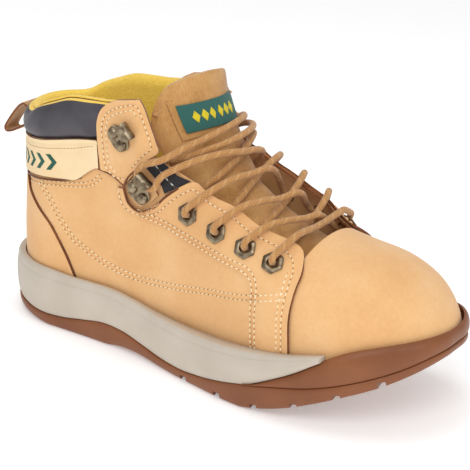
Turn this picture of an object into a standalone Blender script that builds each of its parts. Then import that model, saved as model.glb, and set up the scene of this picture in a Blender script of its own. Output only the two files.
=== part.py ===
"""Steel toe work boot for the right foot, an ankle boot in nubuck with a cup sole.

Lengths are in millimetres until a mesh is made.  X runs from heel to toe, Y towards the
inside of the foot and Z up.  The outside of the upper is one smooth form, given by its
outline seen from the side and by its width.  Each panel is a patch of that form, at its own
depth below the surface.  The form is drawn with the heel seat level, and finish_mesh tips it
onto its heel and ball, with the origin under the heel on the ground.
"""
import math

import bmesh
import bpy
import numpy as np
from mathutils import Matrix, Vector

MM = 0.001
LATERAL, MEDIAL = -1, 1
SIDES = ((LATERAL, "lateral"), (MEDIAL, "medial"))

for old in list(bpy.data.objects):
    bpy.data.objects.remove(old)


# ---------------------------------------------------------------- curves and the boot's form

def spline(points):
    """A smooth curve through a few (x, y) points."""
    xs, ys = np.array(points, float).T
    slopes = np.gradient(ys, xs)

    def at(x):
        x = np.clip(x, xs[0], xs[-1])
        i = np.clip(np.searchsorted(xs, x) - 1, 0, len(xs) - 2)
        h = xs[i + 1] - xs[i]
        t = (x - xs[i]) / h
        return ((1 + 2 * t) * (1 - t) ** 2 * ys[i] + t * (1 - t) ** 2 * h * slopes[i]
                + t * t * (3 - 2 * t) * ys[i + 1] + t * t * (t - 1) * h * slopes[i + 1])
    return at


def smoothstep(start, end, x):
    t = np.clip((x - start) / (end - start), 0, 1)
    return t * t * (3 - 2 * t)


# The front outline from toe box to tongue top is steep, so it is measured on tilted axes.
TILT = math.radians(35)
TILT_CENTRE = (300, 70)
FRONT_LINE = ((330, 56), (300, 62), (280, 69), (262, 74), (240, 79), (220, 85), (200, 95),
              (180, 108), (163, 124), (150, 143), (141, 163), (134, 185), (128, 205))


def tilted(x, z):
    dx, dz = TILT_CENTRE[0] - x, z - TILT_CENTRE[1]
    return dx * math.cos(TILT) + dz * math.sin(TILT), dz * math.cos(TILT) - dx * math.sin(TILT)


front_height = spline([tilted(x, z) for x, z in FRONT_LINE])
FRONT_ROUND = spline(((-30, 35), (0, 35), (40, 39), (90, 48), (140, 50), (200, 40), (240, 38)))
HEEL_LINE = spline(((0, 6), (20, 4.5), (40, 3.5), (60, 4.5), (80, 7), (100, 9.5), (115, 10.5),
                    (130, 10.5), (145, 9), (160, 7), (200, 6)))
TOE_X = 298.8
TOE_ROUND = 54
HEEL_ROUND = 38
FOOT_WIDTH = spline(((0, 33), (40, 33.5), (70, 34), (100, 35), (130, 37.5), (160, 42), (190, 47.5),
                     (215, 50.5), (240, 51), (260, 49.5), (280, 48), (310, 47)))
SHAFT_WIDTH = spline(((0, 34), (60, 35), (90, 36), (120, 36.5), (150, 38), (170, 39.5), (200, 41)))
CENTRE = spline(((0, 0), (100, 0), (150, -1), (200, -1.5), (230, 0), (260, 3), (285, 6), (310, 8)))


def full_width(x, z):
    shaft = smoothstep(35, 95, z) * (1 - smoothstep(120, 185, x))
    return FOOT_WIDTH(x) * (1 - shaft) + SHAFT_WIDTH(z) * shaft


def fullness(x, z):
    """1 well inside the outline seen from the side, 0 on it."""
    along, up = tilted(x, z)
    slope = front_height(along + 0.5) - front_height(along - 0.5)
    gap = (front_height(along) - up) / np.sqrt(1 + slope ** 2)
    front = np.clip(1 - gap / FRONT_ROUND(along), 0, None) ** 2.2
    toe = np.clip(1 - (TOE_X - x) / TOE_ROUND, 0, None) ** 2.2
    heel = np.clip(1 - (x - HEEL_LINE(z)) / HEEL_ROUND, 0, None) ** 2
    return 1 - front - toe - heel


def square_width(x, z):
    return full_width(x, z) ** 2 * fullness(x, z)


def skin(x, z, side, depth=0.0):
    """The point of the form at (x, z) on one side, moved inwards by depth."""
    x, z, side, depth = np.broadcast_arrays(*(np.asarray(v, float) for v in (x, z, side, depth)))
    width = np.sqrt(np.clip(square_width(x, z), 0, None))
    step = 0.4
    normal = np.stack([(square_width(x - step, z) - square_width(x + step, z)) / (4 * step),
                       side * width,
                       (square_width(x, z - step) - square_width(x, z + step)) / (4 * step)], -1)
    normal /= np.linalg.norm(normal, axis=-1, keepdims=True)
    point = np.stack([x, CENTRE(x) + side * width, z], -1)
    return point - depth[..., None] * normal


# Over the front, the form is measured by rays: each ray climbs to the outline, and there the
# surface arches from one side to the other.  The toe's rays start below the sole, and those
# of the throat and the tongue start inside the ankle.
TOE_FAN = (190, -60)
THROAT_FAN = (90, 40)
ARCH = 60


def edge_reach(angle, fan):
    """How far along a ray the outline lies."""
    low, high = np.full_like(angle, 20), np.full_like(angle, 330)
    for _ in range(40):
        middle = (low + high) / 2
        inside = fullness(fan[0] + middle * np.cos(angle), fan[1] + middle * np.sin(angle)) > 0
        low, high = np.where(inside, middle, low), np.where(inside, high, middle)
    return low


def ray_angle(x, z, fan):
    return math.atan2(z - fan[1], x - fan[0])


def arch_across(x, z, side, fan):
    """The arch coordinate of a point: 0 on the outline, growing down each side."""
    angle = np.array(ray_angle(x, z, fan))
    reach = math.hypot(x - fan[0], z - fan[1])
    return side * math.sqrt(max(float(edge_reach(angle, fan)) - reach, 0) / ARCH)


def arch(angle, across, depth, fan):
    angle, across = np.broadcast_arrays(np.asarray(angle, float), np.asarray(across, float))
    reach = edge_reach(angle, fan) - ARCH * across ** 2 - 0.02
    return skin(fan[0] + reach * np.cos(angle), fan[1] + reach * np.sin(angle),
                np.where(across < 0, -1, 1), depth)


def round_heel(z, front, across, depth=0.0):
    """The form at height z: across runs from -1 at the front of one side, round the heel, to 1."""
    z, across = np.broadcast_arrays(np.asarray(z, float), np.asarray(across, float))
    back = HEEL_LINE(z) + 0.02
    return skin(back + (front - back) * across ** 2, z, np.where(across < 0, -1, 1), depth)


def path(points, count):
    """Points evenly spaced along a polyline."""
    points = np.array(points, float)
    run = np.r_[0, np.cumsum(np.linalg.norm(np.diff(points, axis=0), axis=1))]
    at = np.linspace(0, run[-1], count)
    return np.stack([np.interp(at, run, points[:, k]) for k in range(points.shape[1])], -1)


def smooth_path(points, count):
    """Points along a Catmull-Rom curve through the given ones."""
    points = np.array(points, float)
    padded = np.vstack([2 * points[0] - points[1], points, 2 * points[-1] - points[-2]])
    out = []
    for t in np.linspace(0, len(points) - 1, count * 4):
        i = min(int(t), len(points) - 2)
        u = t - i
        a, b, c, d = padded[i:i + 4]
        out.append(0.5 * (2 * b + (c - a) * u + (2 * a - 5 * b + 4 * c - d) * u * u
                          + (3 * b - a - 3 * c + d) * u ** 3))
    return path(out, count)


# ---------------------------------------------------------------- materials

def hex_colour(code):
    channels = [int(code[i:i + 2], 16) / 255 for i in (1, 3, 5)]
    return [c / 12.92 if c <= 0.04045 else ((c + 0.055) / 1.055) ** 2.4 for c in channels] + [1]


def material(name, code, roughness, metallic=0.0):
    made = bpy.data.materials.new(name)
    made.use_nodes = True
    shader = made.node_tree.nodes["Principled BSDF"]
    shader.inputs["Base Color"].default_value = hex_colour(code)
    shader.inputs["Roughness"].default_value = roughness
    shader.inputs["Metallic"].default_value = metallic
    return made


NUBUCK = material("nubuck", "#EDBE82", 0.85)
CREAM = material("cream_leather", "#F6DAAC", 0.7)
SUEDE = material("tongue_suede", "#C4935A", 0.95)
COLLAR = material("collar_leather", "#4A464C", 0.55)
TEXTILE = material("lining_textile", "#F5CB4A", 0.95)
WEBBING = material("black_webbing", "#232226", 0.9)
STRAP = material("brown_strap", "#A9794A", 0.85)
PATCH = material("woven_patch", "#2F6B63", 0.9)
GUM = material("gum_rubber", "#96583A", 0.6)
FOAM = material("midsole_rubber", "#CDC3B5", 0.65)
STEEL = material("steel", "#9A9C9E", 0.35, 1.0)
PEWTER = material("pewter_plated_brass", "#A09884", 0.4, 1.0)
FELT = material("footbed_felt", "#3A3B3E", 0.95)
LACE = material("lace_cord", "#BE8F5C", 0.9)


# ---------------------------------------------------------------- mesh makers

# The boot is tipped back about the middle of the heel's tread, which becomes the origin.
PITCH = math.radians(4.3)
HEEL_MIDDLE = 60
STAND = Matrix.Rotation(-PITCH, 4, "Y") @ Matrix.Translation((-HEEL_MIDDLE * MM, 0, 0))


def finish_mesh(name, bm, look):
    bmesh.ops.transform(bm, matrix=STAND, verts=bm.verts)
    bmesh.ops.recalc_face_normals(bm, faces=bm.faces)
    mesh = bpy.data.meshes.new(name)
    bm.to_mesh(mesh)
    bm.free()
    mesh.materials.append(look)
    made = bpy.data.objects.new(name, mesh)
    bpy.context.collection.objects.link(made)
    return made


def skinned_grid(bm, outer, inner):
    """A closed sheet between two grids of points of the same size."""
    rows, columns = outer.shape[:2]
    layers = [[[bm.verts.new(p * MM) for p in row] for row in grid] for grid in (outer, inner)]
    for top in (0, 1):
        for i in range(rows - 1):
            for j in range(columns - 1):
                v = layers[top]
                bm.faces.new((v[i][j], v[i + 1][j], v[i + 1][j + 1], v[i][j + 1]))
    rim = ([(i, 0) for i in range(rows - 1)] + [(rows - 1, j) for j in range(columns - 1)]
           + [(i, columns - 1) for i in range(rows - 1, 0, -1)] + [(0, j) for j in range(columns - 1, 0, -1)])
    for (i, j), (k, m) in zip(rim, rim[1:] + rim[:1]):
        bm.faces.new((layers[0][i][j], layers[0][k][m], layers[1][k][m], layers[1][i][j]))


def panel(name, look, outer, inner):
    bm = bmesh.new()
    skinned_grid(bm, outer, inner)
    return finish_mesh(name, bm, look)


def ruled(first, second, count):
    """A grid of side-view points between two polylines with the same number of points."""
    share = np.linspace(0, 1, count)[:, None, None]
    return np.asarray(first)[None] * (1 - share) + np.asarray(second)[None] * share


def flat_panel(name, look, grid, side, outer_depth, inner_depth):
    x, z = grid[..., 0], grid[..., 1]
    return panel(name, look, skin(x, z, side, outer_depth), skin(x, z, side, inner_depth))


def ring_solid(name, look, rings):
    """A closed solid through rings of points, filled at the first and the last."""
    bm = bmesh.new()
    loops = [[bm.verts.new(p * MM) for p in ring] for ring in rings]
    count = len(loops[0])
    for low, high in zip(loops, loops[1:]):
        for i in range(count):
            j = (i + 1) % count
            bm.faces.new((low[i], low[j], high[j], high[i]))
    caps = [bm.faces.new(loops[0]), bm.faces.new(loops[-1])]
    bmesh.ops.triangulate(bm, faces=caps)
    return finish_mesh(name, bm, look)


def cut(target, cutter):
    cutter.hide_render = True
    cutter.display_type = "WIRE"
    hole = target.modifiers.new(cutter.name, "BOOLEAN")
    hole.operation = "DIFFERENCE"
    hole.object = cutter


# ---------------------------------------------------------------- sole

CONTACT = math.tan(PITCH)
GROUND_LINE = spline(((-6, 10), (8, 7), (27, 3.6), (44, 0.7), (60, -0.5), (82, -1.9), (96, -0.8), (110, -1.5),
                      (126, -4), (142, -6.2), (158, -8), (175, -9.2), (192, -10.3), (209, -8.2),
                      (226, -4.5), (243, 0.8), (260, 6.5), (278, 12.5), (295, 20), (303, 24.5)))
GUM_LINE = spline(((-6, 16), (14, 12.5), (34, 9.5), (51, 9), (67, 10.5), (84, 12), (100, 10), (116, 5.5),
                   (132, 1.5), (148, -0.5), (164, 0), (181, 2), (198, 4.6), (215, 7), (240, 10),
                   (265, 15.5), (285, 21.5), (303, 29)))
BUMPER_LINE = spline(((212, 9.5), (216, 11), (232, 18), (249, 27), (262, 32.5), (276, 35.5), (290, 37),
                      (305, 37.5)))
MIDSOLE_LINE = spline(((-6, 44), (10, 42), (24, 40.5), (41, 39), (57, 37), (74, 36), (90, 35), (106, 32),
                       (122, 28.5),
                       (138, 26.3), (154, 25), (170, 24.6), (204, 25.5), (222, 26.6), (251, 30)))
# How far the sole's edge stands out from the upper, along each side.
LATERAL_FLANGE = spline(((0, 8.5), (20, 6.5), (60, 5.5), (110, 7), (135, 9), (160, 10.5), (185, 11),
                         (210, 10), (235, 8), (258, 6), (280, 5.4), (294, 8)))
MEDIAL_FLANGE = spline(((0, 8.5), (20, 6.5), (60, 5.5), (200, 5.5), (280, 5.8), (294, 8)))
EDGE_LEVEL = 24
SOLE_POINTS = 38
MIDSOLE_FRONT = 247.3
BUMPER_BACK = 216
GAP = 0.35


def sole_outline():
    """The sole's edge in plan: the upper's section with its flange."""
    turn = (np.arange(SOLE_POINTS) + 0.5) * math.pi / SOLE_POINTS
    z = np.full(SOLE_POINTS, float(EDGE_LEVEL))
    back, front = HEEL_LINE(z), toe_reach(z + spring(TOE_X))
    x = back + (front - back) * (1 - np.cos(turn)) / 2
    height = z + spring(x)
    ring = np.vstack([skin(x, height, LATERAL, -LATERAL_FLANGE(x)),
                      skin(x[::-1], height[::-1], MEDIAL, -MEDIAL_FLANGE(x[::-1]))])
    return ring[:, :2]


def inset(outline, distance):
    """The closed outline moved inwards; distance is one number or one for each point."""
    ahead, behind = np.roll(outline, -1, 0), np.roll(outline, 1, 0)
    along = ahead - behind
    along /= np.linalg.norm(along, axis=1, keepdims=True)
    inward = np.stack([-along[:, 1], along[:, 0]], -1)
    return outline + inward * np.broadcast_to(distance, len(outline))[:, None]


def at_height(outline, height):
    return np.column_stack([outline, np.broadcast_to(height, len(outline))])


def ground_height(x):
    """The bottom of the tread, flat where heel and ball rest on the ground."""
    return np.maximum(GROUND_LINE(x), (HEEL_MIDDLE - x) * CONTACT)


def outsole():
    edge = sole_outline()
    x = edge[:, 0]
    ground, top = ground_height(x), GUM_LINE(x)
    sole = ring_solid("outsole", GUM, [
        at_height(inset(edge, 5), ground), at_height(inset(edge, 2.2), ground + 0.4),
        at_height(inset(edge, 0.6), (ground * 2 + top) / 3), at_height(edge, (ground + top * 2) / 3),
        at_height(inset(edge, 0.3), top)])
    bm = bmesh.new()
    for x, y, length, turn in tread_grooves():
        made = bmesh.ops.create_cube(bm, size=MM)
        bmesh.ops.scale(bm, vec=(GROOVE_WIDTH, length, 2 * GROOVE_DEPTH), verts=made["verts"])
        bmesh.ops.rotate(bm, matrix=Matrix.Rotation(math.radians(turn), 3, "Z"), verts=made["verts"])
        bmesh.ops.translate(bm, vec=Vector((x, y, float(ground_height(x)))) * MM, verts=made["verts"])
    cut(sole, finish_mesh("tread_cutter", bm, GUM))


GROOVE_WIDTH = 4
GROOVE_DEPTH = 3.5
FOREFOOT_GROOVES = (150, 176, 202, 228, 254, 279)
HEEL_GROOVES = (18, 34, 50, 66)


def tread_grooves():
    """(x, y, length, turn) of each channel between the lugs, from the edge inwards."""
    for x in FOREFOOT_GROOVES:
        yield x, -46, 56, 14
        yield x + 4, 44, 52, -14
    for x in HEEL_GROOVES:
        yield x, -34, 40, 10
        yield x + 4, 34, 40, -10


def toe_reach(z):
    """The furthest x of the form at height z."""
    low, high = np.full_like(z, 150.0), np.full_like(z, 320.0)
    for _ in range(40):
        middle = (low + high) / 2
        inside = fullness(middle, z) > 0
        low, high = np.where(inside, middle, low), np.where(inside, high, middle)
    return low


def spring(x):
    """How far the floor of the cup rises towards the toe."""
    return 20 * np.clip((x - 215) / 88, 0, 1) ** 1.8


def section(height, depth, count=28):
    """A closed ring round the form, height above the floor line; depth can vary with x."""
    turn = np.linspace(0, math.pi, count + 1)[:-1] + math.pi / (2 * count)
    toe = np.full(count, height + spring(TOE_X))
    back, front = HEEL_LINE(np.full(count, float(height))), toe_reach(toe)
    x = back + (front - back) * (1 - np.cos(turn)) / 2
    z = height + spring(x)
    depths = depth(x) if callable(depth) else np.full(count, depth)
    ring = np.vstack([skin(x, z, LATERAL, depths), skin(x[::-1], z[::-1], MEDIAL, depths[::-1])])
    ring[:, 2] = height + spring(ring[:, 0])
    return ring


def box_between(name, x, y, z):
    bm = bmesh.new()
    made = bmesh.ops.create_cube(bm, size=MM)
    bmesh.ops.scale(bm, vec=(x[1] - x[0], y[1] - y[0], z[1] - z[0]), verts=made["verts"])
    centre = Vector((sum(x) / 2, sum(y) / 2, sum(z) / 2))
    bmesh.ops.translate(bm, vec=centre * MM, verts=made["verts"])
    return finish_mesh(name, bm, GUM)


CUP_FLOOR = 15.2


def foot_cutter(name):
    """The space that the upper takes in the cup, with clearance."""
    def clearance(x):
        return -2.75 + 0.9 * smoothstep(229, 240, x)
    return ring_solid(name, GUM, [section(z, clearance) for z in (CUP_FLOOR - 1.2, 20, 26, 32, 38, 44)])


def cup(name, look, low, lip, cutters):
    edge = sole_outline()
    x = edge[:, 0]
    bottom, top = low(x), lip(x)
    top = np.maximum(top, bottom + 1.5)
    made = ring_solid(name, look, [
        at_height(inset(edge, 0.5), bottom), at_height(inset(edge, -0.6), (bottom * 2 + top) / 3),
        at_height(inset(edge, -0.2), (bottom + top * 2) / 3), at_height(inset(edge, 1.2), top - 0.9),
        at_height(inset(edge, 2.6), top)])
    for cutter in cutters:
        cut(made, cutter)
    return made


def cup_sole():
    foot = foot_cutter("foot_cutter")
    cup("midsole", FOAM, lambda x: np.maximum(GUM_LINE(x), (BUMPER_LINE(x) + 2.2) * (x > 210)) + GAP,
        lambda x: MIDSOLE_LINE(x),
        [foot, box_between("midsole_end_cutter", (MIDSOLE_FRONT, 330), (-90, 90), (-25, 80))])
    cup("toe_bumper", GUM, lambda x: GUM_LINE(x) + GAP, BUMPER_LINE,
        [foot, box_between("bumper_end_cutter", (-30, BUMPER_BACK), (-90, 90), (-25, 80))])


def board_inset(x):
    """The boards stop short of the steel cap at the toe."""
    return 3.3 + 4 * smoothstep(236, 270, x)


def insoles():
    """From the cup's floor up: board, steel plate and the loose footbed."""
    ring_solid("insole_board", FELT, [section(CUP_FLOOR + 0.4, board_inset),
                                      section(CUP_FLOOR + 2.0, board_inset)])
    ring_solid("steel_midsole_plate", STEEL, [section(CUP_FLOOR + 2.4, board_inset),
                                              section(CUP_FLOOR + 2.9, board_inset)])
    bed = []
    for height, depth in ((CUP_FLOOR + 4.2, 7.8), (CUP_FLOOR + 7.6, 7.0),
                          (CUP_FLOOR + 8.2, 8.0)):
        bed.append(section(height, depth))
    ring_solid("footbed", FELT, bed)


# ---------------------------------------------------------------- upper: base panels

UPPER_FOOT = 16
VAMP_BACK = ray_angle(208, UPPER_FOOT, TOE_FAN)
VAMP_TOE = ray_angle(299, UPPER_FOOT + spring(299), TOE_FAN)


def fan_panel(name, look, start, end, depths, foot=UPPER_FOOT, rows=17, columns=25):
    """A panel that arches over the toe, from one ray to another, down to height foot."""
    angle = np.linspace(start, end, rows)[:, None]
    reach = edge_reach(angle[:, 0], TOE_FAN)
    rise = 0
    for _ in range(4):
        base = (foot + rise - TOE_FAN[1]) / np.sin(angle[:, 0])
        rise = spring(TOE_FAN[0] + base * np.cos(angle[:, 0]))
    drop = np.sqrt(np.clip((reach - base) / ARCH, 0.003, None))[:, None]
    across = np.linspace(-1, 1, columns)[None, :]
    across = np.sign(across) * np.abs(across) ** 0.9 * drop
    return panel(name, look, arch(angle, across, depths[0], TOE_FAN), arch(angle, across, depths[1], TOE_FAN))


def vamp():
    fan_panel("vamp", NUBUCK, VAMP_BACK, VAMP_TOE, (0.6, 2.1), rows=18, columns=25)


def toe_cap():
    """The steel toe cap, between the vamp and its lining."""
    fan_panel("steel_toe_cap", STEEL, ray_angle(250, 20, TOE_FAN), VAMP_TOE, (2.7, 4.0), foot=19.6, rows=13,
              columns=21)
    fan_panel("vamp_lining", FELT, VAMP_BACK, ray_angle(289, 20 + spring(289), TOE_FAN), (4.7, 5.4),
              foot=19.8, rows=13, columns=21)


FACING = ((222, 77.5), (213, 82), (204, 85), (191, 90), (176, 98), (165, 102), (157, 106), (150, 110))
COUNTER_SEAM = ((19, 96), (24, 86), (33, 77), (42, 68), (53, 49), (60, 34), (62, 16))


def collar_foot(x):
    """The collar's lower edge rises from the heel to the hooks."""
    return 121.6 + 6.4 * smoothstep(26, 86, x)


def quarters():
    for side, word in SIDES:
        front = path([(207.4, UPPER_FOOT), (221.4, 76.8)], 9)
        under_collar = tuple((x, float(collar_foot(x)) - 0.8) for x in (112, 98, 85, 71, 57, 42, 28))
        top = path(FACING[1:] + ((128, 120.8),) + under_collar, 23)
        back = path(((28, 120.8), (20.6, 96)) + tuple((x + 0.9, z) for x, z in COUNTER_SEAM[1:]), 9)[::-1]
        bottom = path([(62.9, UPPER_FOOT), (207.4, UPPER_FOOT)], 23)
        top = top[::-1]
        u = np.linspace(0, 1, 23)[:, None, None]
        v = np.linspace(0, 1, 9)[None, :, None]
        corners = ((1 - u) * (1 - v) * bottom[0] + u * (1 - v) * bottom[-1]
                   + (1 - u) * v * top[0] + u * v * top[-1])
        right = path([bottom[-1], (221.4, 76.8), top[-1]], 9)
        grid = ((1 - v) * bottom[:, None] + v * top[:, None]
                + (1 - u) * back[None] + u * right[None] - corners)
        flat_panel("quarter_" + word, NUBUCK, grid, side, 0.4, 2.0)


def heel_counter():
    z = np.linspace(UPPER_FOOT, 95.6, 15)[:, None]
    seam = np.array(COUNTER_SEAM)[::-1]
    front = np.interp(z, seam[:, 1], seam[:, 0])
    across = np.linspace(-1, 1, 17)[None, :]
    panel("heel_counter", NUBUCK, round_heel(z, front, across, -0.8), round_heel(z, front, across, 1.6))
    z = np.linspace(19.8, 88, 9)[:, None]
    panel("heel_stiffener", FELT, round_heel(z, 58 - z * 0.2, across, 2.5),
          round_heel(z, 58 - z * 0.2, across, 3.8))
    z = np.linspace(96.2, 120.8, 4)[:, None]
    across = across * 0.96
    panel("back_stay", NUBUCK, round_heel(z, np.interp(z, (96, 121), (18.6, 26.4)), across, 0.4),
          round_heel(z, np.interp(z, (96, 121), (18.6, 26.4)), across, 2.0))


BAND_FRONT = 84.4
BAND_FOOT = 97.6


def ankle_band():
    height = np.linspace(0, 1, 5)[:, None]
    across = np.linspace(-1, 1, 33)[None, :]
    x = 9 + (BAND_FRONT - 9) * across ** 2
    low = BAND_FOOT + 3 * across ** 2 + 9.5 * smoothstep(0.72, 1, across ** 2)
    z = low + (collar_foot(x) - 0.6 - low) * height
    panel("ankle_band", CREAM, round_heel(z, BAND_FRONT, across, -1.6),
          round_heel(z, BAND_FRONT, across, -0.1))


COLLAR_FRONT = 115
COLLAR_TOP = spline(((9, 137), (27, 137), (36, 141), (50, 145.5), (62, 149), (75, 149.5), (90, 149.5),
                     (116, 153)))


def collar():
    """The padded collar: a thick roll round the top, thinner where the hook flap covers it."""
    across = np.linspace(-1, 1, 41)
    x = 9 + (COLLAR_FRONT - 9) * across ** 2
    top, foot = COLLAR_TOP(x), collar_foot(x)
    covered = smoothstep(78, 84, x)
    out = -1.2 + 1.6 * covered
    roll = ((0.0, 0.6), (0.3, 0.0), (0.75, 0.0), (0.93, 0.12), (1.0, 0.5), (0.94, 0.85), (0.7, 1.0),
            (0.3, 1.0), (0.0, 0.8))
    rings = []
    for share, level in enumerate(across):
        ring = []
        for height, through in roll:
            z = foot[share] + (top[share] - foot[share]) * height
            depth = out[share] + (8.8 - out[share]) * through
            ring.append(round_heel(z, COLLAR_FRONT, level, depth))
        rings.append(np.array(ring))
    ring_solid("collar", COLLAR, rings)


def lining():
    """Textile lining from the footbed up to the collar's top edge."""
    z = np.concatenate([np.linspace(24.5, 104, 9), (112, 120, 128, 136, 144.0)])[:, None]
    across = np.linspace(-1, 1, 23)[None, :]
    front = np.interp(z, (24, 58, 80, 100, 112, 124, 150), (202, 194, 128, 117, 113, 111, 111))
    depth = 4.4 + 4.9 * smoothstep(104, 120, z)
    x = 9 + (front - 9) * across ** 2
    height = np.where(z > 121, 121 + (COLLAR_TOP(x) - 1.5 - 121) * (z - 121) / 23, z)
    panel("lining", TEXTILE, round_heel(height, front, across, depth),
          round_heel(height, front, across, depth + 1.0))


# ---------------------------------------------------------------- upper: overlays

EYELETS = ((208, 73), (190, 79), (170, 85), (149, 92))
STAY_OUTER = ((224.6, 18), (224.8, 43), (225.6, 62), (225.4, 70), (221, 77.4), (213, 81.8), (204, 85),
              (191, 90),
              (176, 98), (165, 102), (157, 106), (150, 110), (141, 106), (133, 100), (124, 92), (114, 88),
              (106, 92), (103, 100.4))
STAY_INNER = ((197, 18), (197, 40), (197.6, 54), (196.6, 60), (193, 64.5), (184, 67.2), (175, 69),
              (164, 71.2),
              (154, 73.4), (144, 76), (138, 77.8), (132, 79.8), (124, 81.4), (116, 82.8), (108, 84.4),
              (103, 86),
              (98.4, 91), (96.6, 100.4))


def eyestays():
    for side, word in SIDES:
        outer, inner = smooth_path(STAY_OUTER, 36), smooth_path(STAY_INNER, 36)
        flat_panel("eyestay_" + word, NUBUCK, ruled(inner, outer, 5), side, -1.8, -0.15)


FLAP_FRONT = ((103.6, 103.0), (112, 112), (119.6, 119.6), (127.4, 125.4), (126, 131), (122.4, 141),
              (119, 151), (116.4, 156.2))
FLAP_BACK = ((86, 110), (85.4, 117), (85.0, 124), (85.0, 132), (85.6, 139), (88.6, 146), (94, 151),
             (101.6, 154.6))


def hook_flaps():
    for side, word in SIDES:
        front, back = smooth_path(FLAP_FRONT, 14), smooth_path(FLAP_BACK, 14)
        flat_panel("hook_flap_" + word, NUBUCK, ruled(back, front, 9), side, -1.8, -0.15)


def hook_tabs():
    for side, word in SIDES:
        grid = ruled(path([(106.2, 104.2), (107.2, 96), (114, 91), (121.5, 94.5)], 7),
                     path([(113, 111), (118.5, 110.5), (124.5, 106), (127.5, 100)], 7), 5)
        flat_panel("hook_tab_" + word, NUBUCK, grid, side, -1.8, -0.15)
        web = ruled(path([(119.6, 115.4), (130, 105.6), (131.6, 101.6)], 7),
                    path([(127.6, 122), (139, 113), (147.6, 110.3)], 7), 4)
        flat_panel("hook_webbing_" + word, WEBBING, web, side, -1.0, -0.15)


# ---------------------------------------------------------------- metal fittings

def local_frame(x, z, side, towards):
    """A point of the form with its outward normal and two tangents; the first leans towards
    the given side-view direction."""
    point = skin(x, z, side)
    normal = skin(x, z, side, -1) - point
    along = skin(x + towards[0] * 0.5, z + towards[1] * 0.5, side) - point
    along -= normal * along.dot(normal)
    along /= np.linalg.norm(along)
    return point, normal, along, np.cross(normal, along) * -side


def placed(frame, along, across, out):
    point, normal, first, second = frame
    return point + first * along + second * across + normal * out


EYELET_FACE = (0.45, 0.89)
HOLE = 3.8


def hole_cutter(name, frame):
    rings = [np.array([placed(frame, HOLE * math.cos(t), HOLE * math.sin(t), out)
                       for t in np.linspace(0, math.tau, 13)[:-1]]) for out in (-6, 6)]
    return ring_solid(name, PEWTER, rings)


def eyelet(name, frame):
    """A six-sided flange on the leather with a short barrel into the hole."""
    profile = ((3.4, -2.2, 0), (3.4, 2.4, 0), (5.8, 2.4, 1), (5.8, 2.9, 1), (5.0, 3.3, 1), (3.3, 3.3, 0),
               (2.85, 2.8, 0), (2.85, -2.2, 0))
    bm = bmesh.new()
    loops = []
    count = 12
    for k in range(count):
        t = math.tau * k / count
        hexagon = 1.04 / math.cos((t + math.pi / 6) % (math.pi / 3) - math.pi / 6)
        loops.append([bm.verts.new(placed(frame, r * (hexagon if six else 1) * math.cos(t),
                                          r * (hexagon if six else 1) * math.sin(t), out) * MM)
                      for r, out, six in profile])
    for k in range(count):
        here, after = loops[k], loops[(k + 1) % count]
        for m in range(len(profile)):
            n = (m + 1) % len(profile)
            bm.faces.new((here[m], here[n], after[n], after[m]))
    return finish_mesh(name, bm, PEWTER)


def eyelets():
    for side, word in SIDES:
        for number, (x, z) in enumerate(EYELETS, 1):
            frame = local_frame(x, z, side, EYELET_FACE)
            cutter = hole_cutter(f"eyelet_cutter_{word}_{number}", frame)
            cut(bpy.data.objects["eyestay_" + word], cutter)
            cut(bpy.data.objects["quarter_" + word], cutter)
            eyelet(f"eyelet_{word}_{number}", frame)


# Each hook is a plate held by two rivets, whose tail bends up and back over the lace.
HOOKS = {"upper": ((108, 136), (0.81, 0.59)), "lower": ((119.5, 106.5), (0.63, 0.78))}
HOOK_PROFILE = ((-13.5, 2.1), (-8, 2.1), (-4.6, 2.1), (-2, 2.1), (1.5, 2.1), (3.6, 2.5), (5.2, 3.9),
                (5.8, 6.0),
                (5.2, 8.2), (3.6, 9.6), (1.2, 10.0), (-1.6, 9.4))
HOOK_WIDTHS = (12, 16.5, 15.5, 9, 9, 9, 9, 9, 9, 8.6, 7.6, 5.4)
HOOK_THICK = 1.0
RIVETS = ((-8.3, -4.5), (-8.3, 4.5))


def hook(name, frame):
    lower = np.array(HOOK_PROFILE)
    along = np.gradient(lower, axis=0)
    along /= np.linalg.norm(along, axis=1, keepdims=True)
    upper = lower + np.stack([-along[:, 1], along[:, 0]], -1) * HOOK_THICK
    rows = []
    for line in (lower, upper):
        rows.append(np.array([[placed(frame, a, width / 2 * edge, out) for edge in (-1, 1)]
                              for (a, out), width in zip(line, HOOK_WIDTHS)]))
    return panel(name, PEWTER, rows[0], rows[1])


def rivet(name, frame):
    profile = ((3.4, 3.45), (3.5, 4.0), (2.7, 4.9), (1.4, 5.4))
    rings = [np.array([placed(frame, r * math.cos(t), r * math.sin(t), out)
                       for t in np.linspace(0, math.tau, 11)[:-1]]) for r, out in profile]
    return ring_solid(name, PEWTER, rings)


def hooks():
    for side, word in SIDES:
        for level, (place, towards) in HOOKS.items():
            frame = local_frame(*place, side, towards)
            hook(f"hook_{level}_{word}", frame)
            for number, (along, across) in enumerate(RIVETS, 1):
                spot = (placed(frame, along, across, 0),) + frame[1:]
                rivet(f"rivet_{level}_{word}_{number}", spot)


# ---------------------------------------------------------------- tongue, label, pull loop

# The tongue is drawn by sections that start on the front outline, at TONGUE_SPINE, and run
# back along both sides: downwards over the foot and level round the shin.
TONGUE_SPINE = ((238, 80), (220, 86), (200, 96), (180, 109), (164, 124), (152, 142), (143, 158), (139, 171))
TONGUE_LEAN = (-118, -116, -114, -116, -128, -150, -166, -172)
TONGUE_REACH = (15, 18, 20, 21, 23, 25, 26, 25)
TONGUE_ROWS = 20
LABEL_ROWS = (0.818, 0.93)
LABEL_HALF = 0.56


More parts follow.
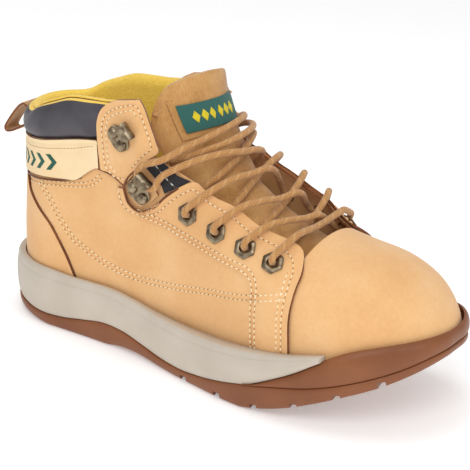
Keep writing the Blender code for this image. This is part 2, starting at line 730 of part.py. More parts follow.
def tongue_point(along, share, depth):
    """A point of the tongue: along runs from 0 at the toe to 1 at the top, share across it.
    Its free upper part leans forwards and is turned towards the inside of the foot."""
    along, share = np.broadcast_arrays(np.asarray(along, float), np.asarray(share, float))
    spine = smooth_path(TONGUE_SPINE, 60)
    knots = np.linspace(0, 1, len(spine))
    even = np.linspace(0, 1, len(TONGUE_LEAN))
    x, z = np.interp(along, knots, spine[:, 0]), np.interp(along, knots, spine[:, 1])
    lean = np.radians(np.interp(along, even, TONGUE_LEAN))
    near, far = np.full(x.shape, -14.0), np.full(x.shape, 14.0)
    for _ in range(30):
        middle = (near + far) / 2
        inside = fullness(x + middle * np.cos(lean), z + middle * np.sin(lean)) > 0
        near, far = np.where(inside, near, middle), np.where(inside, middle, far)
    back = far + 0.02 + np.interp(along, even, TONGUE_REACH) * share ** 2
    point = skin(x + back * np.cos(lean), z + back * np.sin(lean), np.where(share < 0, -1, 1), depth)
    free = smoothstep(0.45, 0.8, along)
    y = point[..., 1]
    moved = np.stack([0.27 * y + 5.8, 0.076 * y + 1.8, 0.046 * y - 7.8], -1)
    return point + free[..., None] * moved


def tongue():
    along = np.linspace(0, 1, TONGUE_ROWS)[:, None]
    share = np.linspace(-1, 1, 13)[None, :]
    share = share * (1 - 0.12 * smoothstep(0.9, 1, along))
    slim = 1 - 0.75 * np.abs(share) ** 3
    panel("tongue", SUEDE, tongue_point(along, share, 8.4 + 0.8 * (1 - slim)),
          tongue_point(along, share, 9.2 + 4.2 * slim))
    along = np.linspace(*LABEL_ROWS, 6)[:, None]
    share = np.linspace(-LABEL_HALF, LABEL_HALF, 11)[None, :]
    panel("tongue_label", PATCH, tongue_point(along, share, 6.9), tongue_point(along, share, 7.9))


LOOP_PATH = ((6.6, 132.2), (2.6, 133.6), (-2, 131), (-7, 126), (-12, 120), (-14.8, 115.4), (-13.4, 112.6),
             (-9, 113), (-4, 115), (1.6, 117.6), (6.0, 119.8))
LOOP_WIDTH = 15
LOOP_THICK = 1.5


def pull_loop():
    line = smooth_path(LOOP_PATH, 22)
    along = np.gradient(line, axis=0)
    along /= np.linalg.norm(along, axis=1, keepdims=True)
    inner = line + np.stack([-along[:, 1], along[:, 0]], -1) * LOOP_THICK
    rows = []
    for curve in (line, inner):
        rows.append(np.array([[(x, y, z) for y in (-LOOP_WIDTH / 2, LOOP_WIDTH / 2)] for x, z in curve]))
    return panel("pull_loop", STRAP, rows[0], rows[1])


# ---------------------------------------------------------------- laces

# Both halves of one lace start at the middle of the bar between the lowest eyelets.  Each
# goes into an eyelet from outside, leaves under that facing and crosses over the other.
LACE_THICK = 4.0
OVER, UNDER = -5.2, 4.9
FACING_EDGE = ((213, 82.4), (196, 88.6), (178, 97.4), (159, 105.4))
BAR_HALF_GAP = 0.015


def crossing(start, middle, end, side, depths):
    """Points from one facing to the other through the outline's point nearest to middle."""
    angles = [ray_angle(*point, THROAT_FAN) for point in (start, middle, end)]
    across = arch_across(*start, side, THROAT_FAN), arch_across(*end, -side, THROAT_FAN)
    route = []
    for t, depth in zip(np.linspace(0, 1, len(depths)), depths):
        angle = angles[0] + (angles[2] - angles[0]) * t
        angle += (angles[1] - (angles[0] + angles[2]) / 2) * 4 * t * (1 - t)
        route.append(arch(angle, across[0] + (across[1] - across[0]) * t, depth, THROAT_FAN))
    return route


def into_eyelet(number, side):
    """Over the flange, down the barrel and out underneath towards the facing's edge."""
    x, z = EYELETS[number]
    frame = local_frame(x, z, side, EYELET_FACE)
    below = [skin(x + EYELET_FACE[0] * step, z + EYELET_FACE[1] * step, side, depth)
             for step, depth in ((0.2, 3.4), (1.6, 4.9), (5, 5.1))]
    return [placed(frame, 4.8, 0, 6.3), placed(frame, 1.6, 0, 6.1), placed(frame, 0.2, 0, 4.6),
            placed(frame, 0, 0, 0.5)] + below


def between(first, second, share):
    return tuple(a + (b - a) * share for a, b in zip(first, second))


LOW_STRAND = (UNDER, 5.1, 5.1, 5.1, 5.0, 2.6, -2.2, OVER)
HIGH_STRAND = (UNDER, 4.4, 2.6, 0.4, -0.8, -2.2, -3.8, OVER)


def around_hook(level, side):
    """In under the hook's bent tail from below and out above it."""
    place, towards = HOOKS[level]
    frame = local_frame(*place, side, towards)
    route = ((10.6, -6.2, 5.4), (6.4, -7.4, 5.8), (3.0, -6.2, 6.0), (1.9, -3.4, 6.2), (1.7, 0, 6.3),
             (1.9, 3.4, 6.2),
             (3.0, 6.2, 6.0), (6.4, 7.4, 5.8), (10.6, 6.6, 5.4))
    return [placed(frame, *point) for point in route]


CROSS_MIDDLE = ((210, 90), (193, 99), (175, 112))


def lace_half(first_side):
    """One half of the lace, from the bar up to the fourth pair of eyelets."""
    side = first_side
    edge = FACING_EDGE[0]
    bar = crossing(edge, (216, 87), edge, -side, (OVER, -3.4, -1.4, 0.2, 0.9, 0.2, -1.4, -3.4, OVER))[4:]
    bar[0] = bar[0] + (bar[1] - bar[0]) / np.linalg.norm(bar[1] - bar[0]) * 0.2
    route = bar
    for number in range(4):
        route += into_eyelet(number, side)
        if number < 3:
            start = between(FACING_EDGE[number], FACING_EDGE[number + 1], 0.22)
            end = between(FACING_EDGE[number + 1], FACING_EDGE[number], 0.1)
            strand = LOW_STRAND if side == LATERAL else HIGH_STRAND
            route += crossing(start, CROSS_MIDDLE[number], end, side, strand)
            side = -side
    return route


def lace(name, route):
    curve = bpy.data.curves.new(name, "CURVE")
    curve.dimensions = "3D"
    curve.bevel_depth = LACE_THICK / 2 * MM
    curve.bevel_resolution = 2
    curve.use_fill_caps = True
    curve.render_resolution_u = 0
    line = curve.splines.new("POLY")
    line.points.add(len(route) - 1)
    for point, place in zip(line.points, route):
        point.co = (*(place * MM), 1)
    curve.materials.append(LACE)
    curve.transform(STAND)
    made = bpy.data.objects.new(name, curve)
    bpy.context.collection.objects.link(made)
    return made


def laces():
    """Both halves leave the fourth eyelets, turn round a lower hook and cross the tongue once
    more: one to the upper hook inside the ankle, the other to be tucked in at the outside."""
    start = between(FACING_EDGE[3], FACING_EDGE[2], -0.25)
    first = lace_half(LATERAL)
    first += crossing(start, (163, 124), (134.5, 114.5), MEDIAL,
                      (4.6, 2.4, 0.4, -0.8, -1.4, -2.4, -3.8, OVER))
    first += around_hook("lower", LATERAL)
    first += crossing((131, 122), (154, 137), (128, 128), LATERAL,
                      (-5.4, -1.6, 3.0, 2.6, 0.6, -2.4, -4.6, -6.0))
    first += around_hook("upper", MEDIAL)
    second = lace_half(MEDIAL)
    second += crossing(start, (163, 124), (134.5, 114.5), LATERAL,
                       (UNDER, 5.1, 5.1, 4.8, 3.4, 0.6, -3.0, OVER))
    second += around_hook("lower", MEDIAL)
    second += crossing((131, 122), (157, 128), (125, 118.5), MEDIAL,
                       (-5.6, -5.4, -3.4, -0.6, 1.8, 4.0, 5.0, 4.8))
    lace("lace_lateral_half", first)
    lace("lace_medial_half", second)


# ---------------------------------------------------------------- build

outsole()
cup_sole()
insoles()
vamp()
toe_cap()
quarters()
heel_counter()
ankle_band()
collar()
lining()
eyestays()
hook_flaps()
hook_tabs()
eyelets()
hooks()
tongue()
pull_loop()
laces()
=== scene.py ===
"""Steel toe work boot for the right foot: the looks of its leather, rubber, metal and laces.

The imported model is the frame, and each finished piece stands for its CAD nodes.  Lengths are in
millimetres until a mesh is made.  X runs from heel to toe, Y towards the inside of the foot and
Z up.  The outside of the upper is one smooth form, drawn with the heel seat level, and each
panel is a patch of that form at its own depth below the surface.  seat_mesh tips the finished
mesh onto its heel and ball.
"""
import math

import bmesh
import bpy
import numpy as np
from mathutils import Matrix, Vector


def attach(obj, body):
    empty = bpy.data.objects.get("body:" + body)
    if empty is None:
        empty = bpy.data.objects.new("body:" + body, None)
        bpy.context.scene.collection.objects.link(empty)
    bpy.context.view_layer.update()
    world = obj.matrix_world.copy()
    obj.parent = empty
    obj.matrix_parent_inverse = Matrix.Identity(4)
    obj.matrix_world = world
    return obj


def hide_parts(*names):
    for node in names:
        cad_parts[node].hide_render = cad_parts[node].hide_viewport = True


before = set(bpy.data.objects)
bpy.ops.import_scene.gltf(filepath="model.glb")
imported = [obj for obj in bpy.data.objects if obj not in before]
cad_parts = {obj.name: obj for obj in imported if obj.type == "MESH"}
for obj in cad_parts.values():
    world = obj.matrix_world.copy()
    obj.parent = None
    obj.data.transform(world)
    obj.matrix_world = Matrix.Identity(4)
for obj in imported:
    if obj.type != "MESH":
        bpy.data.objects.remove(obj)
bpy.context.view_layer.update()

MM = 0.001
LATERAL, MEDIAL = -1, 1
SIDES = ((LATERAL, "lateral"), (MEDIAL, "medial"))
PITCH = math.radians(4.3)
HEEL_MIDDLE = 60
STAND = Matrix.Rotation(-PITCH, 4, "Y") @ Matrix.Translation((-HEEL_MIDDLE * MM, 0, 0))


# ---------------------------------------------------------------- camera

CAMERA_TURN, CAMERA_RISE, CAMERA_ROLL = math.radians(34), math.radians(18.5), math.radians(1.2)
CAMERA_TARGET = (150, 0, 70)
CAMERA_DISTANCE = 1050
SCALE = 1.675
IMAGE = 470
SHIFT = (8, -2)


def set_camera():
    """The boot seen from its toe end, from a little above."""
    sin_turn, cos_turn = math.sin(CAMERA_TURN), math.cos(CAMERA_TURN)
    sin_rise, cos_rise = math.sin(CAMERA_RISE), math.cos(CAMERA_RISE)
    right = Vector((cos_turn, sin_turn, 0))
    up = Vector((-sin_turn * sin_rise, cos_turn * sin_rise, cos_rise))
    back = Vector((sin_turn * cos_rise, -cos_turn * cos_rise, sin_rise))
    rolled_right = right * math.cos(CAMERA_ROLL) - up * math.sin(CAMERA_ROLL)
    rolled_up = right * math.sin(CAMERA_ROLL) + up * math.cos(CAMERA_ROLL)
    place = Matrix((rolled_right, rolled_up, back)).transposed().to_4x4()
    place.translation = (Vector(CAMERA_TARGET) + back * CAMERA_DISTANCE) * MM
    lens = bpy.data.cameras.new("camera")
    lens.sensor_width = 36
    lens.lens = 36 * SCALE * CAMERA_DISTANCE / IMAGE
    lens.shift_x, lens.shift_y = SHIFT[0] / IMAGE, SHIFT[1] / IMAGE
    lens.clip_end = 20
    camera = bpy.data.objects.new("camera", lens)
    bpy.context.collection.objects.link(camera)
    camera.matrix_world = STAND @ place
    bpy.context.scene.camera = camera


set_camera()


# ---------------------------------------------------------------- curves and the boot's form

def spline(points):
    """A smooth curve through a few (x, y) points."""
    xs, ys = np.array(points, float).T
    slopes = np.gradient(ys, xs)

    def at(x):
        x = np.clip(x, xs[0], xs[-1])
        i = np.clip(np.searchsorted(xs, x) - 1, 0, len(xs) - 2)
        h = xs[i + 1] - xs[i]
        t = (x - xs[i]) / h
        return ((1 + 2 * t) * (1 - t) ** 2 * ys[i] + t * (1 - t) ** 2 * h * slopes[i]
                + t * t * (3 - 2 * t) * ys[i + 1] + t * t * (t - 1) * h * slopes[i + 1])
    return at


def halved(goes_on, low, high, steps):
    """The two ends of the step in which goes_on stops being true, found by halving."""
    for _ in range(steps):
        middle = (low + high) / 2
        on = goes_on(middle)
        low, high = np.where(on, middle, low), np.where(on, high, middle)
    return low, high


def smoothstep(start, end, x):
    """0 before start, 1 after end and smooth between."""
    t = np.clip((x - start) / (end - start), 0, 1)
    return t * t * (3 - 2 * t)


# The front outline from toe box to tongue top is steep, so it is measured on tilted axes.
TILT = math.radians(35)
TILT_CENTRE = (300, 70)
FRONT_LINE = ((330, 56), (300, 62), (280, 69), (262, 74), (240, 79), (220, 85), (200, 95), (180, 108),
              (163, 124), (150, 143), (141, 163), (134, 185), (128, 205))


def tilted(x, z):
    """A side-view point on the tilted axes: distance back along the top and height off it."""
    dx, dz = TILT_CENTRE[0] - x, z - TILT_CENTRE[1]
    return dx * math.cos(TILT) + dz * math.sin(TILT), dz * math.cos(TILT) - dx * math.sin(TILT)


front_height = spline([tilted(x, z) for x, z in FRONT_LINE])
FRONT_ROUND = spline(((-30, 35), (0, 35), (40, 39), (90, 48), (140, 50), (200, 40), (240, 38)))
HEEL_LINE = spline(((0, 6), (20, 4.5), (40, 3.5), (60, 4.5), (80, 7), (100, 9.5), (115, 10.5), (130, 10.5),
                    (145, 9), (160, 7), (200, 6)))
TOE_X = 298.8
TOE_ROUND = 54
HEEL_ROUND = 38
FOOT_WIDTH = spline(((0, 33), (40, 33.5), (70, 34), (100, 35), (130, 37.5), (160, 42), (190, 47.5),
                     (215, 50.5), (240, 51), (260, 49.5), (280, 48), (310, 47)))
SHAFT_WIDTH = spline(((0, 34), (60, 35), (90, 36), (120, 36.5), (150, 38), (170, 39.5), (200, 41)))
CENTRE = spline(((0, 0), (100, 0), (150, -1), (200, -1.5), (230, 0), (260, 3), (285, 6), (310, 8)))


def full_width(x, z):
    """Half the width of the form where its outline has no say: the foot below, the shaft above."""
    shaft = smoothstep(35, 95, z) * (1 - smoothstep(120, 185, x))
    return FOOT_WIDTH(x) * (1 - shaft) + SHAFT_WIDTH(z) * shaft


def fullness(x, z):
    """1 well inside the outline seen from the side, 0 on it."""
    along, up = tilted(x, z)
    slope = front_height(along + 0.5) - front_height(along - 0.5)
    gap = (front_height(along) - up) / np.sqrt(1 + slope ** 2)
    front = np.clip(1 - gap / FRONT_ROUND(along), 0, None) ** 2.2
    toe = np.clip(1 - (TOE_X - x) / TOE_ROUND, 0, None) ** 2.2
    heel = np.clip(1 - (x - HEEL_LINE(z)) / HEEL_ROUND, 0, None) ** 2
    return 1 - front - toe - heel


def square_width(x, z):
    """The square of the half width, which falls to 0 on the outline."""
    return full_width(x, z) ** 2 * fullness(x, z)


FACING_LINE = ((222, 77.5), (204, 85), (191, 90), (176, 98), (150, 110), (133, 116))


def gap_to(x, z, lines):
    """How far each side-view point is from the nearest of some polylines."""
    nearest = np.full(np.shape(x), 1e9)
    for line in lines:
        line = np.asarray(line, float)
        for a, b in zip(line, line[1:]):
            along = b - a
            share = np.clip(((x - a[0]) * along[0] + (z - a[1]) * along[1]) / max(along @ along, 1e-9), 0, 1)
            gap = np.hypot(x - a[0] - share * along[0], z - a[1] - share * along[1])
            nearest = np.minimum(nearest, gap)
    return nearest


def skin(x, z, side, depth=0.0):
    """The point of the form at (x, z) on one side, moved inwards by depth.  The outer layers
    of the facing inside the foot stand a little open."""
    x, z, side, depth = np.broadcast_arrays(*(np.asarray(v, float) for v in (x, z, side, depth)))
    width = np.sqrt(np.clip(square_width(x, z), 0, None))
    step = 0.4
    normal = np.stack([(square_width(x - step, z) - square_width(x + step, z)) / (4 * step), side * width,
                       (square_width(x, z - step) - square_width(x, z + step)) / (4 * step)], -1)
    normal /= np.linalg.norm(normal, axis=-1, keepdims=True)
    point = np.stack([x, CENTRE(x) + side * width, z], -1)
    near = np.exp(-(gap_to(x, z, [FACING_LINE]) / 16) ** 2) * smoothstep(62, 76, z)
    near = near * (1 - smoothstep(196, 222, x)) * (1 - smoothstep(2.6, 6.5, depth))
    opened = np.where(side > 0, near, 0)[..., None] * np.array((3.2, 2.4, 4.4))
    return point - depth[..., None] * normal + opened


# Over the front, the form is measured by rays: each ray climbs to the outline, and there the
# surface arches from one side to the other.  The toe's rays start below the sole, and those
# of the throat and the tongue start inside the ankle.
TOE_FAN = (190, -60)
THROAT_FAN = (90, 40)
ARCH = 60


def edge_reach(angle, fan):
    """How far along a ray the outline lies."""
    def inside(reach):
        return fullness(fan[0] + reach * np.cos(angle), fan[1] + reach * np.sin(angle)) > 0
    return halved(inside, np.full_like(angle, 20), np.full_like(angle, 330), 40)[0]


def ray_angle(x, z, fan):
    """The angle of the ray from a fan's centre through a side-view point."""
    return math.atan2(z - fan[1], x - fan[0])


def arch_across(x, z, side, fan):
    """The arch coordinate of a point: 0 on the outline, growing down each side."""
    angle = np.array(ray_angle(x, z, fan))
    reach = math.hypot(x - fan[0], z - fan[1])
    return side * math.sqrt(max(float(edge_reach(angle, fan)) - reach, 0) / ARCH)


def arch(angle, across, depth, fan):
    """The point of the form on a ray, across from its top on the outline."""
    angle, across = np.broadcast_arrays(np.asarray(angle, float), np.asarray(across, float))
    reach = edge_reach(angle, fan) - ARCH * across ** 2 - 0.02
    return skin(fan[0] + reach * np.cos(angle), fan[1] + reach * np.sin(angle), np.where(across < 0, -1, 1),
                depth)


def round_heel(z, front, across, depth=0.0):
    """The form at height z: across runs from -1 at the front of one side, round the heel, to 1."""
    z, across = np.broadcast_arrays(np.asarray(z, float), np.asarray(across, float))
    back = HEEL_LINE(z) + 0.02
    return skin(back + (front - back) * across ** 2, z, np.where(across < 0, -1, 1), depth)


def reader(points):
    """A function that reads a polyline at shares 0 to 1 of its length."""
    points = np.asarray(points, float)
    run = np.r_[0, np.cumsum(np.linalg.norm(np.diff(points, axis=0), axis=1))]
    return lambda share: np.stack([np.interp(np.asarray(share) * run[-1], run, points[:, k])
                                   for k in range(points.shape[1])], -1)


def path(points, count):
    """Points evenly spaced along a polyline."""
    return reader(points)(np.linspace(0, 1, count))


def smooth_path(points, count):
    """Points along a Catmull-Rom curve through the given ones."""
    points = np.array(points, float)
    padded = np.vstack([2 * points[0] - points[1], points, 2 * points[-1] - points[-2]])
    out = []
    for t in np.linspace(0, len(points) - 1, count * 4):
        i = min(int(t), len(points) - 2)
        u = t - i
        a, b, c, d = padded[i:i + 4]
        out.append(0.5 * (2 * b + (c - a) * u + (2 * a - 5 * b + 4 * c - d) * u * u
                          + (3 * b - a - 3 * c + d) * u ** 3))
    return path(out, count)


# ---------------------------------------------------------------- materials

def hex_colour(code):
    """An sRGB colour as the linear one that the shaders take."""
    channels = [int(code[i:i + 2], 16) / 255 for i in (1, 3, 5)]
    return [c / 12.92 if c <= 0.04045 else ((c + 0.055) / 1.055) ** 2.4 for c in channels] + [1]


def add_node(tree, kind, inputs=(), **settings):
    """A shader node; an input is given by name or number, as a constant or another socket."""
    made = tree.nodes.new(kind)
    for name, value in settings.items():
        setattr(made, name, value)
    for name, value in dict(inputs).items():
        if isinstance(value, bpy.types.NodeSocket):
            tree.links.new(value, made.inputs[name])
        else:
            made.inputs[name].default_value = value
    return made


def new_material(name, roughness, metallic=0.0, sheen=0.0, gloss=0.5):
    """A material with the constant settings of its surface."""
    made = bpy.data.materials.new(name)
    made.use_nodes = True
    tree = made.node_tree
    shader = tree.nodes["Principled BSDF"]
    shader.inputs["Roughness"].default_value = roughness
    shader.inputs["Metallic"].default_value = metallic
    shader.inputs["Sheen Weight"].default_value = sheen
    shader.inputs["Sheen Roughness"].default_value = 0.5
    shader.inputs["Specular IOR Level"].default_value = gloss
    return made, tree, shader


def dress(tree, shader, factor, stops, reliefs):
    """Colours a surface along a 0 to 1 factor and lays reliefs over one another.  Stops are
    (position, hex colour) and reliefs are (height, depth in mm, strength)."""
    colours = add_node(tree, "ShaderNodeValToRGB", {0: factor})
    band = colours.color_ramp
    while len(band.elements) < len(stops):
        band.elements.new(0.5)
    for element, (position, code) in zip(band.elements, stops):
        element.position = position
        element.color = hex_colour(code)
    tree.links.new(colours.outputs[0], shader.inputs["Base Color"])
    under = {}
    for height, depth, strength in reliefs:
        relief = add_node(tree, "ShaderNodeBump", {"Height": height, "Distance": depth * MM,
                                                   "Strength": strength, **under})
        under = {"Normal": relief.outputs[0]}
    tree.links.new(under["Normal"], shader.inputs["Normal"])
    return colours.outputs[0]


def cloudy(name, stops, patterns, reliefs, roughness, share=0.0, **shine):
    """A material whose colour and relief follow patterns laid in the piece's own space.  Each
    pattern is (kind, size in mm, other inputs, settings); share mixes the second into the
    first for the colour, and reliefs are (pattern number, depth in mm, strength)."""
    made, tree, shader = new_material(name, roughness, **shine)
    place = add_node(tree, "ShaderNodeTexCoord").outputs["Object"]
    heights = [add_node(tree, "ShaderNodeTex" + kind, {"Vector": place, "Scale": 1000 / size, **inputs},
                        **settings).outputs[0] for kind, size, inputs, settings in patterns]
    factor = heights[0]
    if share:
        factor = add_node(tree, "ShaderNodeMix", {0: share, 2: heights[0], 3: heights[1]}).outputs[0]
    dress(tree, shader, factor, stops, [(heights[number], depth, strength)
                                        for number, depth, strength in reliefs])
    return made, tree, shader, heights


def nubuck(name, dark, middle, light):
    """Nubuck: leather sanded on the grain side, so matt, with a short nap that catches the
    light, soft cloudy colour and hardly any grain."""
    patterns = (("Noise", 38, {"Detail": 4}, {}), ("Noise", 2.2, {"Detail": 3}, {}),
                ("Voronoi", 1.3, {}, {}), ("Noise", 0.9, {"Detail": 2}, {}))
    return cloudy(name, ((0.3, dark), (0.5, middle), (0.72, light)), patterns,
                  ((2, 0.05, 0.5), (3, 0.07, 0.6)), 0.78, 0.25, sheen=0.22, gloss=0.25)[0]


def smooth_leather(name, dark, light, roughness, grain_mm=1.1):
    """Corrected-grain leather or its coated stand-in: an embossed grain under an even finish."""
    patterns = (("Noise", 22, {"Detail": 3}, {}), ("Voronoi", grain_mm, {},
                                                   {"feature": "DISTANCE_TO_EDGE"}),
                ("Noise", 7, {"Detail": 3}, {}))
    reliefs = ((1, 0.12, 0.35), (2, 0.5, 0.25))
    return cloudy(name, ((0.3, dark), (0.7, light)), patterns, reliefs, roughness)[0]


def suede(name, dark, middle, light):
    """Suede split: a long fibrous nap, brushed into lighter and darker patches."""
    made, tree, shader = new_material(name, 0.95, sheen=0.4, gloss=0.15)
    place = add_node(tree, "ShaderNodeTexCoord").outputs["Object"]
    drawn_out = add_node(tree, "ShaderNodeMapping", {"Vector": place, "Scale": (1, 1, 0.35)}).outputs[0]
    patches = add_node(tree, "ShaderNodeTexNoise", {"Vector": place, "Scale": 1000 / 16, "Detail": 4})
    fibres = add_node(tree, "ShaderNodeTexNoise", {"Vector": drawn_out, "Scale": 1000 / 0.9, "Detail": 3})
    blend = add_node(tree, "ShaderNodeMix", {0: 0.35, 2: patches.outputs[0], 3: fibres.outputs[0]})
    dress(tree, shader, blend.outputs[0], ((0.32, dark), (0.5, middle), (0.68, light)),
          ((fibres.outputs[0], 0.22, 0.7),))
    return made


def moulded_rubber(name, dark, light, roughness):
    """Moulded rubber: an even satin skin with a faint mottle from the mould's sand-blasting."""
    patterns = (("Noise", 30, {"Detail": 4}, {}), ("Noise", 1.1, {"Detail": 2}, {}))
    return cloudy(name, ((0.3, dark), (0.7, light)), patterns, ((1, 0.08, 0.5),), roughness, gloss=0.4)[0]


def knitted(name, dark, light, cell_mm):
    """Brushed knit: small open cells under a soft pile."""
    return cloudy(name, ((0.1, dark), (0.55, light)), (("Voronoi", cell_mm, {}, {}),), ((0, -0.3, 0.7),),
                  0.95, sheen=0.35)[0]


def plated_metal(name, dark, light, roughness):
    """Antique plating on pressed brass: darkened metal, rubbed bright where it is handled."""
    patterns = (("Noise", 4, {"Detail": 4}, {}), ("Noise", 1.6, {"Detail": 3}, {}))
    made, tree, shader, heights = cloudy(name, ((0.35, dark), (0.65, light)), patterns, ((1, 0.06, 0.5),),
                                         roughness, metallic=1.0)
    dull = add_node(tree, "ShaderNodeMath", {0: heights[0], 1: 0.25, 2: roughness - 0.12},
                    operation="MULTIPLY_ADD")
    tree.links.new(dull.outputs[0], shader.inputs["Roughness"])
    return made


# The UV maps of woven and braided pieces are in millimetres.  They are shifted by a long way,
# so that a pattern which folds back at 0 never reaches it.
FAR = 1000.0


def woven(name, dark, light, thread_mm):
    """Plain weave: threads cross at right angles and take turns on top."""
    made, tree, shader = new_material(name, 0.85, sheen=0.2)
    split = add_node(tree, "ShaderNodeSeparateXYZ", {0: add_node(tree, "ShaderNodeTexCoord").outputs["UV"]})
    folds = []
    for way in (0, 1):
        shifted = add_node(tree, "ShaderNodeMath", {0: split.outputs[way], 1: FAR}, operation="ADD")
        folds.append(add_node(tree, "ShaderNodeMath", {0: shifted.outputs[0], 1: thread_mm},
                              operation="PINGPONG").outputs[0])
    both = add_node(tree, "ShaderNodeMath", {0: folds[0], 1: folds[1]}, operation="ADD")
    height = add_node(tree, "ShaderNodeMath", {0: both.outputs[0], 1: 0.5 / thread_mm}, operation="MULTIPLY")
    # The colour follows the weave's height, so the low places between threads take painted shade.
    dress(tree, shader, height.outputs[0], ((0.15, dark), (0.75, light)), ((height.outputs[0], 0.2, 0.8),))
    return made


def braided(name, dark, middle, fleck):
    """Round braid: slanting strands in both directions, with a paler fleck strand."""
    made, tree, shader = new_material(name, 0.9, sheen=0.3)
    split = add_node(tree, "ShaderNodeSeparateXYZ", {0: add_node(tree, "ShaderNodeTexCoord").outputs["UV"]})
    pitch = 2.1
    folds = []
    for operation, width in (("ADD", pitch / 2), ("SUBTRACT", pitch / 2), ("ADD", pitch * 2)):
        slant = add_node(tree, "ShaderNodeMath", {0: split.outputs[0], 1: split.outputs[1]},
                         operation=operation)
        shifted = add_node(tree, "ShaderNodeMath", {0: slant.outputs[0], 1: FAR / 2}, operation="ADD")
        folds.append(add_node(tree, "ShaderNodeMath", {0: shifted.outputs[0], 1: width},
                              operation="PINGPONG").outputs[0])
    slanted, crossed, stripe = folds
    lower = add_node(tree, "ShaderNodeMath", {0: slanted, 1: crossed}, operation="MINIMUM")
    height = add_node(tree, "ShaderNodeMath", {0: lower.outputs[0], 1: pitch / 2}, operation="DIVIDE")
    edge = add_node(tree, "ShaderNodeMath", {0: crossed, 1: 0.9, 2: stripe}, operation="MULTIPLY_ADD")
    flecks = add_node(tree, "ShaderNodeMath", {0: edge.outputs[0], 1: 1.05}, operation="LESS_THAN")
    half = add_node(tree, "ShaderNodeMath", {0: flecks.outputs[0], 1: 0.5}, operation="MULTIPLY")
    # The base colour follows the strands' height, so the grooves between strands take painted shade.
    base = dress(tree, shader, height.outputs[0], ((0.0, dark), (0.45, middle)),
                 ((height.outputs[0], 0.2, 0.7),))
    flecked = add_node(tree, "ShaderNodeMix", {0: half.outputs[0], 6: base, 7: hex_colour(fleck)},
                       data_type="RGBA")
    tree.links.new(flecked.outputs[2], shader.inputs["Base Color"])
    return made


NUBUCK = nubuck("nubuck", "#E2AC73", "#EBB980", "#F1C591")
CUT_EDGE = suede("cut_leather_edge", "#5E3418", "#7A4420", "#8F5A30")
CREAM = smooth_leather("cream_corrected_leather", "#F4D5A4", "#FAE2B6", 0.55)
COLLAR = smooth_leather("collar_coated_leather", "#3B373D", "#4C484F", 0.42, 1.4)
TONGUE = suede("tongue_suede", "#A8763F", "#C4935A", "#D3A56B")
TEXTILE = knitted("lining_brushed_knit", "#EDBB33", "#FBD75C", 0.9)
WEBBING = woven("black_nylon_webbing", "#0E0E10", "#2E2D32", 0.6)
STRAP = suede("pull_loop_leather", "#A67645", "#C29159", "#D6AA76")
PATCH = woven("woven_label_polyester", "#1D4E48", "#2F6B63", 0.45)
PATCH_THREAD = woven("label_yellow_thread", "#C9AE10", "#EBDA2C", 0.45)
BAND_PRINT = smooth_leather("band_green_print", "#155240", "#1D6450", 0.6)
GUM = moulded_rubber("gum_rubber", "#7C4726", "#8D5531", 0.45)
MIDSOLE = moulded_rubber("midsole_polyurethane", "#C0B5A6", "#CDC3B5", 0.55)
PEWTER = plated_metal("antique_pewter_plate", "#6A5A48", "#A8997F", 0.38)
STEEL = plated_metal("pressed_steel", "#85888B", "#A6A9AC", 0.35)
FELT = knitted("footbed_felt", "#242528", "#43444A", 0.8)
LACE = braided("braided_polyester_lace", "#A9753C", "#C6935A", "#D9AF78")
THREAD = smooth_leather("bonded_nylon_thread", "#F2D9A8", "#FBEBC8", 0.6)
GREY_THREAD = smooth_leather("pale_nylon_thread", "#C8C4BA", "#E4E0D6", 0.6)
# Needle holes: a darker brown dot at each one, painted shade of the hole and its dimple.
NEEDLE_HOLE_SHADE = smooth_leather("needle_hole_painted_shade", "#A87340", "#BC8750", 0.9)
BROWN_THREAD = smooth_leather("brown_nylon_thread", "#7E5429", "#A87A45", 0.7)


# ---------------------------------------------------------------- mesh makers

def seat_mesh(name, mesh, looks, body, stands_for):
    """Tips a mesh onto its heel and ball, gives it its materials and its place in the frame."""
    mesh.transform(STAND)
    mesh.update()
    for look in looks:
        mesh.materials.append(look)
    mesh.shade_smooth()
    made = bpy.data.objects.new(name, mesh)
    bpy.context.collection.objects.link(made)
    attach(made, body)
    if stands_for:
        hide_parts(*stands_for)
    return made


def mapped_grid(columns, rows, place, uv_size=None):
    """A grid whose corners run over (u, v) from 0 to 1, with each point where place says."""
    bm = bmesh.new()
    bmesh.ops.create_grid(bm, x_segments=columns, y_segments=rows, size=0.5, calc_uvs=True)
    spread = np.array([vert.co[:2] for vert in bm.verts]) + 0.5
    points = place(spread[:, 0], spread[:, 1]) * MM
    layer = bm.loops.layers.uv.verify()
    if uv_size:
        for face in bm.faces:
            for loop in face.loops:
                u, v = loop.vert.co.x + 0.5, loop.vert.co.y + 0.5
                loop[layer].uv = (u * uv_size[0], v * uv_size[1])
    for vert, point in zip(bm.verts, points):
        vert.co = point
    return bm


def sewn(bm, distance=0.01, capped=True):
    """Joins the edges that meet, fills the open ends and turns the faces outwards."""
    bmesh.ops.remove_doubles(bm, verts=bm.verts, dist=distance * MM)
    if capped:
        bmesh.ops.holes_fill(bm, edges=[edge for edge in bm.edges if edge.is_boundary], sides=0)
        bmesh.ops.triangulate(bm, faces=[face for face in bm.faces if len(face.verts) > 4])
    bmesh.ops.recalc_face_normals(bm, faces=bm.faces)
    return bm


def to_mesh(name, bm):
    """Turns a finished bmesh into a mesh."""
    mesh = bpy.data.meshes.new(name)
    bm.to_mesh(mesh)
    bm.free()
    return mesh


INSIDE = Vector((120, 0, 60)) * MM


def face_away(mesh, inside=INSIDE):
    """Turns an open sheet over if it faces the inside of the boot."""
    outward = sum(poly.normal.dot(poly.center - inside) * poly.area for poly in mesh.polygons)
    if outward < 0:
        mesh.flip_normals()


def soften(made, width, angle=50, segments=2):
    """Rounds a piece's sharp edges with a live bevel."""
    soft = made.modifiers.new("soft edge", "BEVEL")
    soft.width = width * MM
    soft.segments = segments
    soft.limit_method = "ANGLE"
    soft.angle_limit = math.radians(angle)


